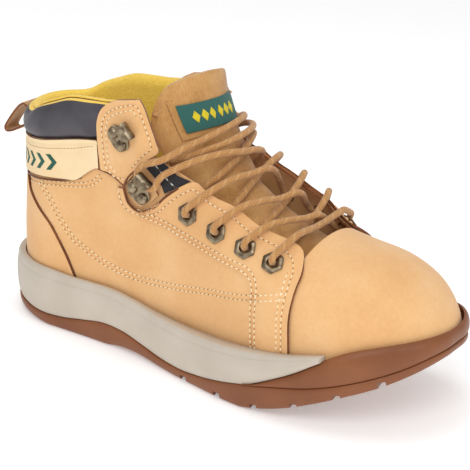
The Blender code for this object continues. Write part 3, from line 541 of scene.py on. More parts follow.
def sheet(name, looks, columns, rows, place, thickness, body="root", stands_for=(), slot=None,
          uv_size=None, edge=0.45, rounds=2, inside=INSIDE):
    """A sheet of leather or cloth on its outer face, given its thickness inwards and soft edges.
    A second look shows on the cut edge."""
    mesh = to_mesh(name, mapped_grid(columns, rows, place, uv_size))
    face_away(mesh, inside)
    made = seat_mesh(name, mesh, looks, body, stands_for)
    wall = made.modifiers.new("thickness", "SOLIDIFY")
    wall.thickness = thickness * MM
    wall.offset = -1
    wall.material_offset_rim = len(looks) - 1
    if edge:
        soften(made, edge, segments=rounds)
    return made


def round_cord(line, first, second, radius):
    """Places a circle of two directions along a line; radius takes (u, turn)."""
    share = np.linspace(0, 1, len(line))

    def place(u, v):
        middle, one, other = (np.stack([np.interp(u, share, way[:, k]) for k in range(3)], -1)
                              for way in (line, first, second))
        turn = (math.tau * v)[:, None]
        return middle + (one * np.cos(turn) + other * np.sin(turn)) * radius(u[:, None], turn)
    return place


def coons(bottom, top, left, right):
    """Fills the space between four edges: bottom and top run along u, left and right along v."""
    low, high, start, end = reader(bottom), reader(top), reader(left), reader(right)

    def at(u, v):
        u, v = u[:, None], v[:, None]
        corners = ((1 - u) * (1 - v) * low(0) + u * (1 - v) * low(1)
                   + (1 - u) * v * high(0) + u * v * high(1))
        return ((1 - v) * low(u[:, 0]) + v * high(u[:, 0])
                + (1 - u) * start(v[:, 0]) + u * end(v[:, 0]) - corners)
    return at


def between_lines(first, second):
    """Fills the space between two lines that run the same way."""
    low, high = reader(first), reader(second)
    return lambda u, v: low(u) * (1 - v[:, None]) + high(u) * v[:, None]


def pressed(points, lines, depth=0.5, width=2.6):
    """How deep a row of stitches pulls the leather in."""
    if not lines:
        return 0.0
    return depth * np.exp(-(gap_to(points[:, 0], points[:, 1], lines) / width) ** 2)


def stitches(name, look, line, pitch=3.4, length=2.4, thick=0.95, body="root", slot=None, *, normals):
    """Short rounded stitches along a line in space, each sunk at both ends into the sheet."""
    at = reader(line)
    run = np.linalg.norm(np.diff(line, axis=0), axis=1).sum()
    count = max(int(run / pitch), 1)
    lift = reader(normals)
    bm = bmesh.new()
    for k in range(count):
        share = (k + 0.5) / count
        middle = at(share)
        along = at(min(share + 0.3 / count, 1)) - at(max(share - 0.3 / count, 0))
        along /= np.linalg.norm(along)
        up = lift(share)
        up = up - along * along.dot(up)
        up /= np.linalg.norm(up)
        turn = Matrix((along, np.cross(up, along), up)).transposed().to_4x4()
        turn.translation = middle * MM
        size = Matrix.Diagonal((length / 2 * MM, thick / 2 * MM, thick / 2 * MM, 1))
        bmesh.ops.create_uvsphere(bm, u_segments=7, v_segments=5, radius=1, matrix=turn @ size)
        thread = len(bm.faces)
        # A darker dot where the thread goes in between stitches: painted shade of the needle hole.
        turn.translation = (at((k + 1) / count) - up * 0.12) * MM
        hole = Matrix.Diagonal((0.45 * MM, 0.45 * MM, 0.3 * MM, 1))
        bmesh.ops.create_uvsphere(bm, u_segments=6, v_segments=4, radius=1, matrix=turn @ hole)
        bm.faces.ensure_lookup_table()
        for face in bm.faces[thread:]:
            face.material_index = 1
    return seat_mesh(name, to_mesh(name, bm), [look, NEEDLE_HOLE_SHADE], body, ())


def skin_line(points, side, depth, count=160):
    """A side-view line laid on the form, with the outward normals along it."""
    line = path(points, count)
    depth = depth(line) if callable(depth) else depth
    on = skin(line[:, 0], line[:, 1], side, depth)
    above = skin(line[:, 0], line[:, 1], side, depth - 1.0)
    return on, above - on


def edge_line(name, points, side, depth, radius):
    """The dark raw edge of a cut panel, as a fine bead along a side-view line."""
    line, up = skin_line(smooth_path(points, 120), side, depth, 120)
    along = np.gradient(line, axis=0)
    along /= np.linalg.norm(along, axis=1, keepdims=True)
    bm = sewn(mapped_grid(160, 8, round_cord(line, np.cross(up, along), up, lambda u, turn: radius)))
    seat_mesh(name, to_mesh(name, bm), [CUT_EDGE], "root", ())


def seam(name, points, side, depth, rows=(0,), look=None, slot="nubuck", **sizes):
    """Rows of stitches beside a side-view line, at offsets in millimetres across it."""
    smooth = smooth_path(points, 160)
    along = np.gradient(smooth, axis=0)
    along /= np.linalg.norm(along, axis=1, keepdims=True)
    across = np.stack([-along[:, 1], along[:, 0]], -1)
    for number, offset in enumerate(rows, 1):
        on, up = skin_line(smooth + across * offset, side, depth)
        stitches(f"{name}_{number}", look or THREAD, on, slot=slot, normals=up, **sizes)


# ---------------------------------------------------------------- lines on the upper

FACING = ((222, 77.5), (213, 82), (204, 85), (191, 90), (176, 98), (165, 102), (157, 106), (150, 110))
COUNTER_SEAM = ((19, 96), (24, 86), (33, 77), (42, 68), (53, 49), (60, 34), (62, 16))
STAY_OUTER = ((224.6, 18), (224.8, 43), (225.6, 62), (225.4, 70), (221, 77.4), (213, 81.8), (204, 85),
              (191, 90), (176, 98), (165, 102), (157, 106), (150, 110), (141, 106), (133, 100), (124, 92),
              (114, 88), (106, 92), (103, 100.4))
STAY_INNER = ((197, 18), (197, 40), (197.6, 54), (196.6, 60), (193, 64.5), (184, 67.2), (175, 69),
              (164, 71.2), (154, 73.4), (144, 76), (138, 77.8), (132, 79.8), (124, 81.4), (116, 82.8),
              (108, 84.4), (103, 86), (98.4, 91), (96.6, 100.4))
SWEEP = ((35, 94.5), (39, 90), (44, 84), (48, 76), (57, 63), (66, 57), (78, 51), (92, 47), (109, 44.6),
         (128, 45), (146, 46.6), (166, 49.4), (187, 52), (205, 55), (221, 58))
DIAGONAL = ((98, 100), (98.6, 94), (101, 89), (106, 86.4), (116, 84.6), (132, 81.2), (144, 77.6),
            (164, 72.6), (184, 68.4), (193, 66), (198, 61), (199, 54), (198.6, 40), (198.6, 23))
FRONT_ROW = ((220.6, 23), (221, 43), (221.6, 60), (221.4, 69), (218, 74.6), (211, 79), (202, 82.2),
             (189, 87.2), (175, 94.6), (164, 98.8), (156, 102.6), (150.4, 106.2), (142.4, 102.4), (135, 97),
             (126, 89.4), (114.6, 85.6))
BELOW_BAND = ((23, 92.6), (41, 94.4), (53, 95.4), (66, 96.6), (76, 99), (84, 104.4))
FLAP_FRONT = ((103.6, 103.0), (112, 112), (119.6, 119.6), (127.4, 125.4), (126, 131), (122.4, 141),
              (119, 151), (116.4, 156.2))
FLAP_BACK = ((86, 110), (85.4, 117), (85.0, 124), (85.0, 132), (85.6, 139), (88.6, 146), (94, 151),
             (101.6, 154.6))
FLAP_ROW = ((104, 106.4), (96, 107), (90, 112.4), (89.2, 118), (88.8, 125), (88.8, 132), (89.4, 138),
            (92, 143.6), (97, 147.6), (104, 150.6), (113.4, 152.4), (116.6, 148), (119.4, 140),
            (122.6, 131), (122.8, 127), (117, 122), (109.6, 114.4))
UPPER_FOOT = 16
COLLAR_FRONT = 115
COLLAR_TOP = spline(((9, 137), (27, 137), (36, 141), (50, 145.5), (62, 149), (75, 149.5), (90, 149.5),
                     (116, 153)))
BAND_FRONT = 84.4
BAND_FOOT = 97.6


def collar_foot(x):
    """The collar's lower edge rises from the heel to the hooks."""
    return 121.6 + 6.4 * smoothstep(26, 86, x)


def toe_reach(z):
    """The furthest x of the form at height z."""
    return halved(lambda x: fullness(x, z) > 0, np.full_like(z, 150.0), np.full_like(z, 320.0), 40)[0]


def spring(x):
    """How far the floor of the cup rises towards the toe."""
    return 20 * np.clip((x - 215) / 88, 0, 1) ** 1.8


# ---------------------------------------------------------------- upper

def side_sheet(name, looks, columns, rows, grid, side, depth, thickness, presses=(), **more):
    """A sheet on one side of the form, from a side-view grid and a depth below the surface."""
    def place(u, v):
        flat = grid(u, v)
        level = depth(u, v) if callable(depth) else depth
        return skin(flat[:, 0], flat[:, 1], side, level + pressed(flat, presses))
    return sheet(name, looks, columns, rows, place, thickness, **more)


VAMP_BACK = ray_angle(208, UPPER_FOOT, TOE_FAN)
VAMP_TOE = ray_angle(299, UPPER_FOOT + spring(299), TOE_FAN)


def vamp():
    """The plain toe and its throat, drawn over the steel cap in one piece."""
    def place(u, v):
        angle = VAMP_BACK + (VAMP_TOE - VAMP_BACK) * u
        reach = edge_reach(angle, TOE_FAN)
        rise = 0
        for _ in range(4):
            base = (UPPER_FOOT + rise - TOE_FAN[1]) / np.sin(angle)
            rise = spring(TOE_FAN[0] + base * np.cos(angle))
        drop = np.sqrt(np.clip((reach - base) / ARCH, 0.003, None))
        across = 2 * v - 1
        return arch(angle, np.sign(across) * np.abs(across) ** 0.9 * drop, 0.6, TOE_FAN)
    sheet("vamp_nubuck", (NUBUCK, CUT_EDGE), 90, 110, place, 1.5, stands_for=("vamp",), slot="nubuck")


def quarters():
    """The sides of the upper, with the sweeping double row and the rows below the band."""
    for side, word in SIDES:
        under_collar = tuple((x, float(collar_foot(x)) - 0.8) for x in (112, 98, 85, 71, 57, 42, 28))
        top = path(FACING[1:] + ((128, 120.8),) + under_collar, 60)[::-1]
        back = path(((28, 120.8), (20.6, 96)) + tuple((x + 0.9, z) for x, z in COUNTER_SEAM[1:]), 40)[::-1]
        bottom = path([(62.9, UPPER_FOOT), (207.4, UPPER_FOOT)], 40)
        front = path([bottom[-1], (221.4, 76.8), top[-1]], 40)
        side_sheet("quarter_nubuck_" + word, (NUBUCK, CUT_EDGE), 210, 110, coons(bottom, top, back, front),
                   side, 0.4, 1.5, [smooth_path(SWEEP, 60), smooth_path(BELOW_BAND, 30)],
                   stands_for=("quarter_" + word,), slot="nubuck")
        seam("sweep_stitches_" + word, SWEEP, side,
             lambda line: 0.55 - 2.1 * smoothstep(196.4, 199, line[:, 0]), rows=(-1.5, 1.5))
        seam("band_stitches_" + word, BELOW_BAND, side, 0.55, rows=(-1.3, 1.3))


def heel_counter():
    """The counter wraps the heel, with its dark cut edge lying on both quarters."""
    seam_line = np.array(COUNTER_SEAM)[::-1]

    def place(u, v):
        z = UPPER_FOOT + (95.6 - UPPER_FOOT) * v
        front = np.interp(z, seam_line[:, 1], seam_line[:, 0])
        return round_heel(z, front, 2 * u - 1, -0.8)
    sheet("heel_counter_nubuck", (NUBUCK, CUT_EDGE), 90, 90, place, 2.2, stands_for=("heel_counter",),
          slot="nubuck", edge=0.3)
    for side, word in SIDES:
        edge_line("counter_edge_" + word, COUNTER_SEAM[1:6], side, -0.1, 0.75)


def band_grid(u, v):
    """Where a point of the ankle band lies: its share across and its height."""
    across = 2 * u - 1
    x = 9 + (BAND_FRONT - 9) * across ** 2
    low = BAND_FOOT + 3 * across ** 2 + 9.5 * smoothstep(0.72, 1, across ** 2)
    return across, low + (collar_foot(x) - 0.6 - low) * v


def ankle_band():
    """A cream band folded over at its top, with a printed row of chevrons on each side."""
    def place(u, v):
        across, z = band_grid(u, v)
        fold = 0.5 * np.exp(-((v - 0.9) / 0.05) ** 2)
        return round_heel(z, BAND_FRONT, across, -1.6 + fold)
    sheet("ankle_band_cream", (CREAM, CUT_EDGE), 150, 36, place, 1.4, stands_for=("ankle_band",),
          slot="cream")
    u = np.linspace(0.01, 0.99, 220)
    across, z = band_grid(u, np.full_like(u, 0.78))
    line = round_heel(z, BAND_FRONT, across, -1.5)
    up = round_heel(z, BAND_FRONT, across, -2.5) - line
    stitches("band_row_top", BROWN_THREAD, line, pitch=2.6, length=1.6, thick=0.5, slot="cream", normals=up)
    for side, word in SIDES:
        edge_line("band_cut_edge_" + word, ((22, 95.6), (41, 96.8), (56, 98.4), (70, 102)), side, -0.6, 0.6)
        for number in range(6):
            band_chevron(f"band_chevron_{word}_{number + 1}", side, 0.62 + 0.044 * number)


def band_chevron(name, side, start):
    """One printed chevron: two slanting bars that meet at half height."""
    def place(u, v):
        lean = 0.022 * (1 - np.abs(2 * v - 1))
        share = start + lean + 0.017 * u
        share = share if side == MEDIAL else 1 - share
        across, z = band_grid(share, 0.2 + 0.42 * v)
        return round_heel(z, BAND_FRONT, across, -1.72)
    sheet(name, (BAND_PRINT,), 4, 16, place, 0.3, slot="label", edge=0)


COLLAR_ROLL = ((0.0, 0.55), (0.0, 0.2), (0.12, -0.02), (0.35, -0.14), (0.6, -0.08), (0.82, 0.06),
               (0.95, 0.26), (1.0, 0.5), (0.98, 0.75), (0.86, 0.95), (0.6, 1.0), (0.3, 1.0), (0.06, 0.92),
               (0.0, 0.55))


def collar():
    """The padded collar: a soft roll in coated leather, dimpled where the foam bunches."""
    section = smooth_path(COLLAR_ROLL, 80)
    share = np.linspace(0, 1, len(section))

    def place(u, v):
        across = 2 * u - 1
        x = 9 + (COLLAR_FRONT - 9) * across ** 2
        low, high = collar_foot(x), COLLAR_TOP(x)
        height, through = np.interp(v, share, section[:, 0]), np.interp(v, share, section[:, 1])
        out = -1.2 + 1.6 * smoothstep(78, 84, x)
        slack = 0.5 * np.sin(across * 19) * np.sin(height * math.pi) + 0.35 * np.sin(across * 41 + height * 5)
        through = np.where(through < 0.3, through + slack * 0.05 * (1 - smoothstep(74, 84, x)), through)
        through = np.where(x > 78, np.maximum(through, 0.0), through)
        return round_heel(low + (high - low) * height, COLLAR_FRONT, across, out + (8.8 - out) * through)
    bm = sewn(mapped_grid(150, 44, place, (1, 1)))
    layer = bm.loops.layers.uv.active
    for face in bm.faces:
        if face.loops[0][layer].uv.y > 0.47:
            face.material_index = 1
    made = seat_mesh("collar_padding", to_mesh("collar_padding", bm), (COLLAR, TEXTILE), "root",
                     ("collar",))


def lining():
    """Brushed knit from the footbed up to the collar, turned out over its top edge."""
    def place(u, v):
        z = 24.5 + 119.5 * v
        across = 2 * u - 1
        front = np.interp(z, (24, 58, 80, 100, 112, 124, 150), (202, 194, 128, 117, 113, 111, 111))
        depth = 4.4 + 4.9 * smoothstep(104, 120, z)
        x = 9 + (front - 9) * across ** 2
        turned = smoothstep(138, 144, z)
        height = np.where(z > 121, 121 + (COLLAR_TOP(x) + 0.5 - 121) * np.minimum((z - 121) / 20, 1), z)
        return round_heel(height, front, across, depth - 4.2 * turned)
    sheet("lining_knit", (TEXTILE,), 120, 80, place, 1.0, stands_for=("lining",), slot="lining", edge=0.3)


def punched(made, frames, radius):
    """Cuts round holes through a sheet and keeps the result as its mesh."""
    cutters = []
    for point, normal, first, second in frames:
        bm = bmesh.new()
        turn = Matrix((first, second, normal)).transposed().to_4x4()
        turn.translation = Vector(point) * MM
        bmesh.ops.create_cone(bm, cap_ends=True, segments=32, radius1=radius * MM, radius2=radius * MM,
                              depth=12 * MM, matrix=turn)
        bmesh.ops.recalc_face_normals(bm, faces=bm.faces)
        cutters.append(loose_object("punch", bm))
    carve(made, cutters)


def carve(made, cutters):
    """Subtracts the cutters from a piece, keeps the result as its mesh and drops the cutters."""
    for cutter in cutters:
        hole = made.modifiers.new(cutter.name, "BOOLEAN")
        hole.operation = "DIFFERENCE"
        hole.object = cutter
    shaped = bpy.data.meshes.new_from_object(made.evaluated_get(bpy.context.evaluated_depsgraph_get()))
    made.modifiers.clear()
    old = made.data
    made.data = shaped
    bpy.data.meshes.remove(old)
    for cutter in cutters:
        bpy.data.objects.remove(cutter)


def local_frame(x, z, side, towards):
    """A point of the form with its outward normal and two tangents; the first leans towards
    the given side-view direction."""
    point = skin(x, z, side)
    normal = skin(x, z, side, -1) - point
    along = skin(x + towards[0] * 0.5, z + towards[1] * 0.5, side) - point
    along -= normal * along.dot(normal)
    along /= np.linalg.norm(along)
    return point, normal, along, np.cross(normal, along) * -side


def placed(here, along, across, out):
    """A point given in a local frame."""
    point, normal, first, second = here
    along, across, out = (np.asarray(v, float)[..., None] for v in (along, across, out))
    return point + first * along + second * across + normal * out


EYELETS = ((208, 73), (190, 79), (170, 85), (149, 92))
EYELET_FACE = (0.45, 0.89)


def eyestays():
    """The facing with its eyelets, skived thin along its lower edge."""
    for side, word in SIDES:
        outer, inner = smooth_path(STAY_OUTER, 120), smooth_path(STAY_INNER, 120)
        made = side_sheet("eyestay_nubuck_" + word, (NUBUCK, CUT_EDGE), 230, 36,
                          between_lines(inner, outer), side, lambda u, v: -0.5 - 1.3 * smoothstep(0, 0.45,
                                                                                                  v), 1.2,
                          [smooth_path(DIAGONAL, 70), smooth_path(FRONT_ROW, 90)],
                          stands_for=("eyestay_" + word,), slot="nubuck", edge=0.35)
        punched(made, [local_frame(x, z, side, EYELET_FACE) for x, z in EYELETS], 3.8)
        seam("diagonal_stitches_" + word, DIAGONAL, side, -1.2, rows=(0.6, 3.6))
        seam("front_stitches_" + word, FRONT_ROW[:4], side, -1.65, rows=(0.4, 3.4))
        seam("facing_stitches_" + word, FRONT_ROW[3:], side, -1.65, rows=(0.4,))
        edge_line("front_cut_edge_" + word, STAY_OUTER[:5], side, -0.9, 0.65)
        edge_line("diagonal_cut_edge_" + word, ((84, 110), (94, 107.4), (103.4, 102)), side, -1.2, 0.6)
        edge_line("hook_cut_edge_" + word, STAY_OUTER[12:] + ((103.4, 103), (107, 108.6), (113, 113.6)),
                  side, -1.5, 0.8)


def hook_flaps():
    """The flaps that carry the upper hooks, with the tabs and webbing of the lower ones."""
    for side, word in SIDES:
        front, back = smooth_path(FLAP_FRONT, 60), smooth_path(FLAP_BACK, 60)
        side_sheet("hook_flap_nubuck_" + word, (NUBUCK, CUT_EDGE), 90, 60, between_lines(back, front), side,
                   -1.8, 1.6, [smooth_path(FLAP_ROW, 70)], stands_for=("hook_flap_" + word,), slot="nubuck")
        seam("flap_stitches_" + word, FLAP_ROW, side, -1.65, rows=(0,))
        seam("flap_inner_stitches_" + word, FLAP_ROW[1:12], side, -1.65, rows=(-3.0,))
        grid = between_lines(path([(106.2, 104.2), (107.2, 96), (114, 91), (121.5, 94.5)], 30),
                             path([(113, 111), (118.5, 110.5), (124.5, 106), (127.5, 100)], 30))
        side_sheet("hook_tab_nubuck_" + word, (NUBUCK, CUT_EDGE), 26, 22, grid, side, -1.1, 0.9,
                   stands_for=("hook_tab_" + word,), slot="nubuck")
        web = between_lines(path([(119.6, 115.4), (130, 105.6), (131.6, 101.6)], 30),
                            path([(127.6, 122), (139, 113), (147.6, 110.3)], 30))
        side_sheet("hook_webbing_nylon_" + word, (WEBBING,), 30, 20, web, side, -1.0, 0.8,
                   stands_for=("hook_webbing_" + word,), slot="webbing", uv_size=(30, 12), edge=0.2)
        seam("webbing_stitches_" + word, ((125, 118.4), (133.6, 110), (138.4, 106.4)), side, -0.9,
             rows=(0,), look=GREY_THREAD, slot="webbing", pitch=4.2, length=2.8)


# ---------------------------------------------------------------- metal fittings

EYELET_PROFILE = ((3.5, -2.2, 0), (3.5, 2.3, 0), (5.9, 2.3, 1), (6.0, 2.5, 1), (5.8, 2.9, 1), (5.3, 3.2, 1),
                  (4.2, 3.45, 0.5), (3.4, 3.3, 0), (2.95, 2.8, 0), (2.85, 2.0, 0), (2.85, -2.2, 0),
                  (3.5, -2.2, 0))


def eyelet(name, here, node):
    """A six-sided flange rolled into a short barrel."""
    profile = np.array(EYELET_PROFILE)
    share = np.linspace(0, 1, len(profile))

    def place(u, v):
        turn = math.tau * u
        radius, out, six = (np.interp(v, share, profile[:, k]) for k in range(3))
        corner = 1.03 / np.cos((turn + math.pi / 6) % (math.pi / 3) - math.pi / 6)
        radius = radius * (1 + (np.minimum(corner, 1.15) - 1) * six)
        return placed(here, radius * np.cos(turn), radius * np.sin(turn), out)
    bm = sewn(mapped_grid(72, len(profile) - 1, place), capped=False)
    seat_mesh(name, to_mesh(name, bm), [PEWTER], "root", (node,))


HOOKS = {"upper": ((108, 136), (0.81, 0.59)), "lower": ((119.5, 106.5), (0.63, 0.78))}
HOOK_PROFILE = ((-13.5, 2.1), (-8, 2.1), (-4.6, 2.1), (-2, 2.1), (1.5, 2.1), (3.6, 2.5), (5.2, 3.9),
                (5.8, 6.0), (5.2, 8.2), (3.6, 9.6), (1.2, 10.0), (-1.6, 9.4))
HOOK_WIDTHS = (12, 16.5, 15.5, 9, 9, 9.6, 10.4, 11, 11, 10.6, 9.6, 7.4)
RIVETS = ((-8.3, -4.5), (-8.3, 4.5))


def hook(name, here, node):
    """A pressed plate whose tail curls up and back over the lace, ribbed along its middle."""
    line = smooth_path([(a, out, w) for (a, out), w in zip(HOOK_PROFILE, HOOK_WIDTHS)], 90)
    share = np.linspace(0, 1, len(line))

    def place(u, v):
        a, out, width = (np.interp(u, share, line[:, k]) for k in range(3))
        step = 1 / len(line)
        ahead = np.stack([np.interp(u + step, share, line[:, k]) - np.interp(u - step, share, line[:, k])
                          for k in (0, 1)], -1)
        ahead /= np.linalg.norm(ahead, axis=1, keepdims=True) + 1e-9
        across = 2 * v - 1
        rib = 0.5 * np.exp(-((across) / 0.35) ** 2) * smoothstep(0.3, 0.45, u)
        end = np.clip((0.05 - u) / 0.05, 0, 1)
        width = width * np.sqrt(1 - 0.75 * end ** 2)
        return placed(here, a - ahead[:, 1] * (1.0 + rib), width / 2 * across,
                      out + ahead[:, 0] * (1.0 + rib))
    mesh = to_mesh(name, mapped_grid(44, 14, place))
    face_away(mesh, Vector(placed(here, 0, 0, -8)) * MM)
    made = seat_mesh(name, mesh, [PEWTER], "root", (node,))
    wall = made.modifiers.new("thickness", "SOLIDIFY")
    wall.thickness = 1.0 * MM
    wall.offset = -1
    soften(made, 0.3, 30)


def rivet(name, here, node):
    """A domed head: a flattened ball over the plate."""
    _, normal, first, second = here
    bm = bmesh.new()
    turn = Matrix((first, second, normal)).transposed().to_4x4()
    turn.translation = Vector(placed(here, 0, 0, 3.3)) * MM
    size = Matrix.Diagonal((3.5 * MM, 3.5 * MM, 2.3 * MM, 1))
    bmesh.ops.create_uvsphere(bm, u_segments=28, v_segments=18, radius=1, matrix=turn @ size)
    seat_mesh(name, to_mesh(name, bm), [PEWTER], "root", (node,))


def fittings():
    """Every eyelet, hook and rivet."""
    for side, word in SIDES:
        for number, (x, z) in enumerate(EYELETS, 1):
            eyelet(f"eyelet_ring_{word}_{number}", local_frame(x, z, side, EYELET_FACE),
                   f"eyelet_{word}_{number}")
        for level, (spot, towards) in HOOKS.items():
            here = local_frame(*spot, side, towards)
            hook(f"lace_hook_{level}_{word}", here, f"hook_{level}_{word}")
            for number, (along, across) in enumerate(RIVETS, 1):
                on_plate = (placed(here, along, across, 0),) + here[1:]
                rivet(f"rivet_head_{level}_{word}_{number}", on_plate, f"rivet_{level}_{word}_{number}")


# ---------------------------------------------------------------- tongue, label, pull loop

# The tongue is drawn by sections that start on the front outline, at TONGUE_SPINE, and run
# back along both sides: downwards over the foot and level round the shin.
TONGUE_SPINE = ((238, 80), (220, 86), (200, 96), (180, 109), (164, 124), (152, 142), (143, 158), (139, 171))
TONGUE_LEAN = (-118, -116, -114, -116, -128, -150, -166, -172)
TONGUE_REACH = (15, 18, 20, 21, 23, 25, 26, 25)
LABEL_ROWS = (0.818, 0.93)
LABEL_HALF = 0.56


def tongue_point(along, share, depth):
    """A point of the tongue: along runs from 0 at the toe to 1 at the top, share across it.
    Its free upper part leans forwards and is turned towards the inside of the foot."""
    along, share = np.broadcast_arrays(np.asarray(along, float), np.asarray(share, float))
    spine = smooth_path(TONGUE_SPINE, 60)
    knots = np.linspace(0, 1, len(spine))
    even = np.linspace(0, 1, len(TONGUE_LEAN))
    x, z = np.interp(along, knots, spine[:, 0]), np.interp(along, knots, spine[:, 1])
    lean = np.radians(np.interp(along, even, TONGUE_LEAN))

    def outside(back):
        return fullness(x + back * np.cos(lean), z + back * np.sin(lean)) <= 0
    edge = halved(outside, np.full(x.shape, -14.0), np.full(x.shape, 14.0), 30)[1]
    back = edge + 0.02 + np.interp(along, even, TONGUE_REACH) * share ** 2
    point = skin(x + back * np.cos(lean), z + back * np.sin(lean), np.where(share < 0, -1, 1), depth)
    free = smoothstep(0.45, 0.8, along)
    y = point[..., 1]
    moved = np.stack([0.27 * y + 5.8, 0.076 * y + 1.8, 0.046 * y - 7.8], -1)
    return point + free[..., None] * moved


def tongue_shares(u, v):
    """Rounds the tongue's top corners."""
    across = 2 * v - 1
    return u * (1 - 0.085 * np.abs(across) ** 5), across * (1 - 0.12 * np.clip((u - 0.86) / 0.14, 0, 1) ** 3)


def tongue():
    """A padded tongue in suede, full along its middle and arched at its top."""
    def outer(u, v):
        along, share = tongue_shares(u, v)
        crown = 1 - 0.75 * np.abs(share) ** 3
        fold = 0.35 * np.sin(along * 40) * np.exp(-(share / 0.5) ** 2) * smoothstep(0.3, 0.5, along)
        sunk = 10 * smoothstep(0.15, 0.8, share) * (1 - smoothstep(0.4, 0.62, along))
        sunk = sunk * smoothstep(0.02, 0.14, along)
        raised = 0.6 * crown * smoothstep(0.35, 0.7, along)
        point = tongue_point(along, share, 8.4 + 0.8 * (1 - crown) - raised + fold + sunk)
        arched = 6.5 * smoothstep(0.92, 1.0, u) * (1 - (2 * v - 1) ** 2)
        return point + arched[..., None] * np.array((0.25, 0, 1))
    made = sheet("tongue_suede", (TONGUE,), 130, 60, outer, 4.2, body="tongue", stands_for=("tongue",),
                 slot="suede", edge=1.6, rounds=4)


def label():
    """A woven label with a row of lozenges, sewn round its edge."""
    low, high = LABEL_ROWS

    def patch(u, v):
        return tongue_point(low + (high - low) * v, LABEL_HALF * (2 * u - 1), 6.6)
    sheet("tongue_label_woven", (PATCH,), 50, 26, patch, 1.1, body="tongue", stands_for=("tongue_label",),
          slot="label", uv_size=(50, 24), edge=0.25)
    middle, tall = (low + high) / 2, (high - low) * 0.22
    for number, share in enumerate(np.linspace(-0.34, 0.34, 6), 1):
        def place(u, v, share=share):
            lozenge = 1 - np.abs(2 * v - 1)
            wide = 0.055 * lozenge + 0.004
            return tongue_point(middle + (2 * v - 1) * tall, share + wide * (2 * u - 1), 6.25)
        sheet(f"label_lozenge_{number}", (PATCH_THREAD,), 8, 16, place, 0.6, body="tongue", slot="label",
              uv_size=(6, 11), edge=0)
    box = ((low - 0.022, -LABEL_HALF - 0.1), (high + 0.022, -LABEL_HALF - 0.1),
           (high + 0.022, LABEL_HALF + 0.1), (low - 0.022, LABEL_HALF + 0.1),
           (low - 0.022, -LABEL_HALF - 0.1))
    line = path(box, 200)
    on = tongue_point(line[:, 0], line[:, 1], 7.7)
    up = tongue_point(line[:, 0], line[:, 1], 6.7) - on
    stitches("label_stitches", BROWN_THREAD, on, pitch=3.0, length=2.0, thick=0.6, body="tongue",
             slot="suede", normals=up)


LOOP_PATH = ((6.6, 132.2), (2.6, 133.6), (-2, 131), (-7, 126), (-12, 120), (-14.8, 115.4), (-13.4, 112.6),
             (-9, 113), (-4, 115), (1.6, 117.6), (6.0, 119.8))
LOOP_WIDTH = 15


def pull_loop():
    """The leather loop sewn to the back of the collar, folded over on itself."""
    line = smooth_path(LOOP_PATH, 60)
    share = np.linspace(0, 1, len(line))

    def place(u, v):
        x, z = np.interp(u, share, line[:, 0]), np.interp(u, share, line[:, 1])
        return np.stack([x, LOOP_WIDTH * (v - 0.5) * (1 - 0.12 * np.sin(math.pi * u)), z], -1)
    centre = Vector((0, 0, 132)) * MM
    sheet("pull_loop_leather", (STRAP, CUT_EDGE), 60, 14, place, 1.5, body="pull_loop",
          stands_for=("pull_loop",), slot="strap", edge=0.3, inside=centre)


# ---------------------------------------------------------------- laces

# Both halves of one lace start at the middle of the bar between the lowest eyelets.  Each
# goes into an eyelet from outside, leaves under that facing and crosses over the other.
LACE_THICK = 4.0
OVER, UNDER = -5.2, 4.9
FACING_EDGE = ((213, 82.4), (196, 88.6), (178, 97.4), (159, 105.4))


def crossing(start, middle, end, side, depths):
    """Points from one facing to the other through the outline's point nearest to middle."""
    angles = [ray_angle(*point, THROAT_FAN) for point in (start, middle, end)]
    across = arch_across(*start, side, THROAT_FAN), arch_across(*end, -side, THROAT_FAN)
    route = []
    for t, depth in zip(np.linspace(0, 1, len(depths)), depths):
        angle = angles[0] + (angles[2] - angles[0]) * t
        angle += (angles[1] - (angles[0] + angles[2]) / 2) * 4 * t * (1 - t)
        route.append(arch(angle, across[0] + (across[1] - across[0]) * t, depth, THROAT_FAN))
    return route


def into_eyelet(number, side):
    """Over the flange, down the barrel and out underneath towards the facing's edge."""
    x, z = EYELETS[number]
    here = local_frame(x, z, side, EYELET_FACE)
    below = [skin(x + EYELET_FACE[0] * step, z + EYELET_FACE[1] * step, side, depth)
             for step, depth in ((0.2, 3.4), (1.6, 4.9), (5, 5.1))]
    above = [placed(here, along, 0, out) for along, out in ((4.8, 6.3), (1.6, 6.1), (0.2, 4.6), (0, 0.5))]
    return above + below


def between(first, second, share):
    """A point part of the way from one to another."""
    return tuple(a + (b - a) * share for a, b in zip(first, second))


LOW_STRAND = (UNDER, 5.1, 5.1, 5.1, 5.0, 2.6, -2.2, OVER)
HIGH_STRAND = (UNDER, 4.4, 2.6, 0.4, -0.8, -2.2, -3.8, OVER)


def around_hook(level, side):
    """In under the hook's bent tail from below and out above it."""
    place, towards = HOOKS[level]
    here = local_frame(*place, side, towards)
    route = ((10.6, -6.2, 5.4), (6.4, -7.4, 5.8), (3.0, -6.2, 6.0), (1.9, -3.4, 6.2), (1.7, 0, 6.3),
             (1.9, 3.4, 6.2), (3.0, 6.2, 6.0), (6.4, 7.4, 5.8), (10.6, 6.6, 5.4))
    return [placed(here, *point) for point in route]


CROSS_MIDDLE = ((210, 90), (193, 99), (175, 112))


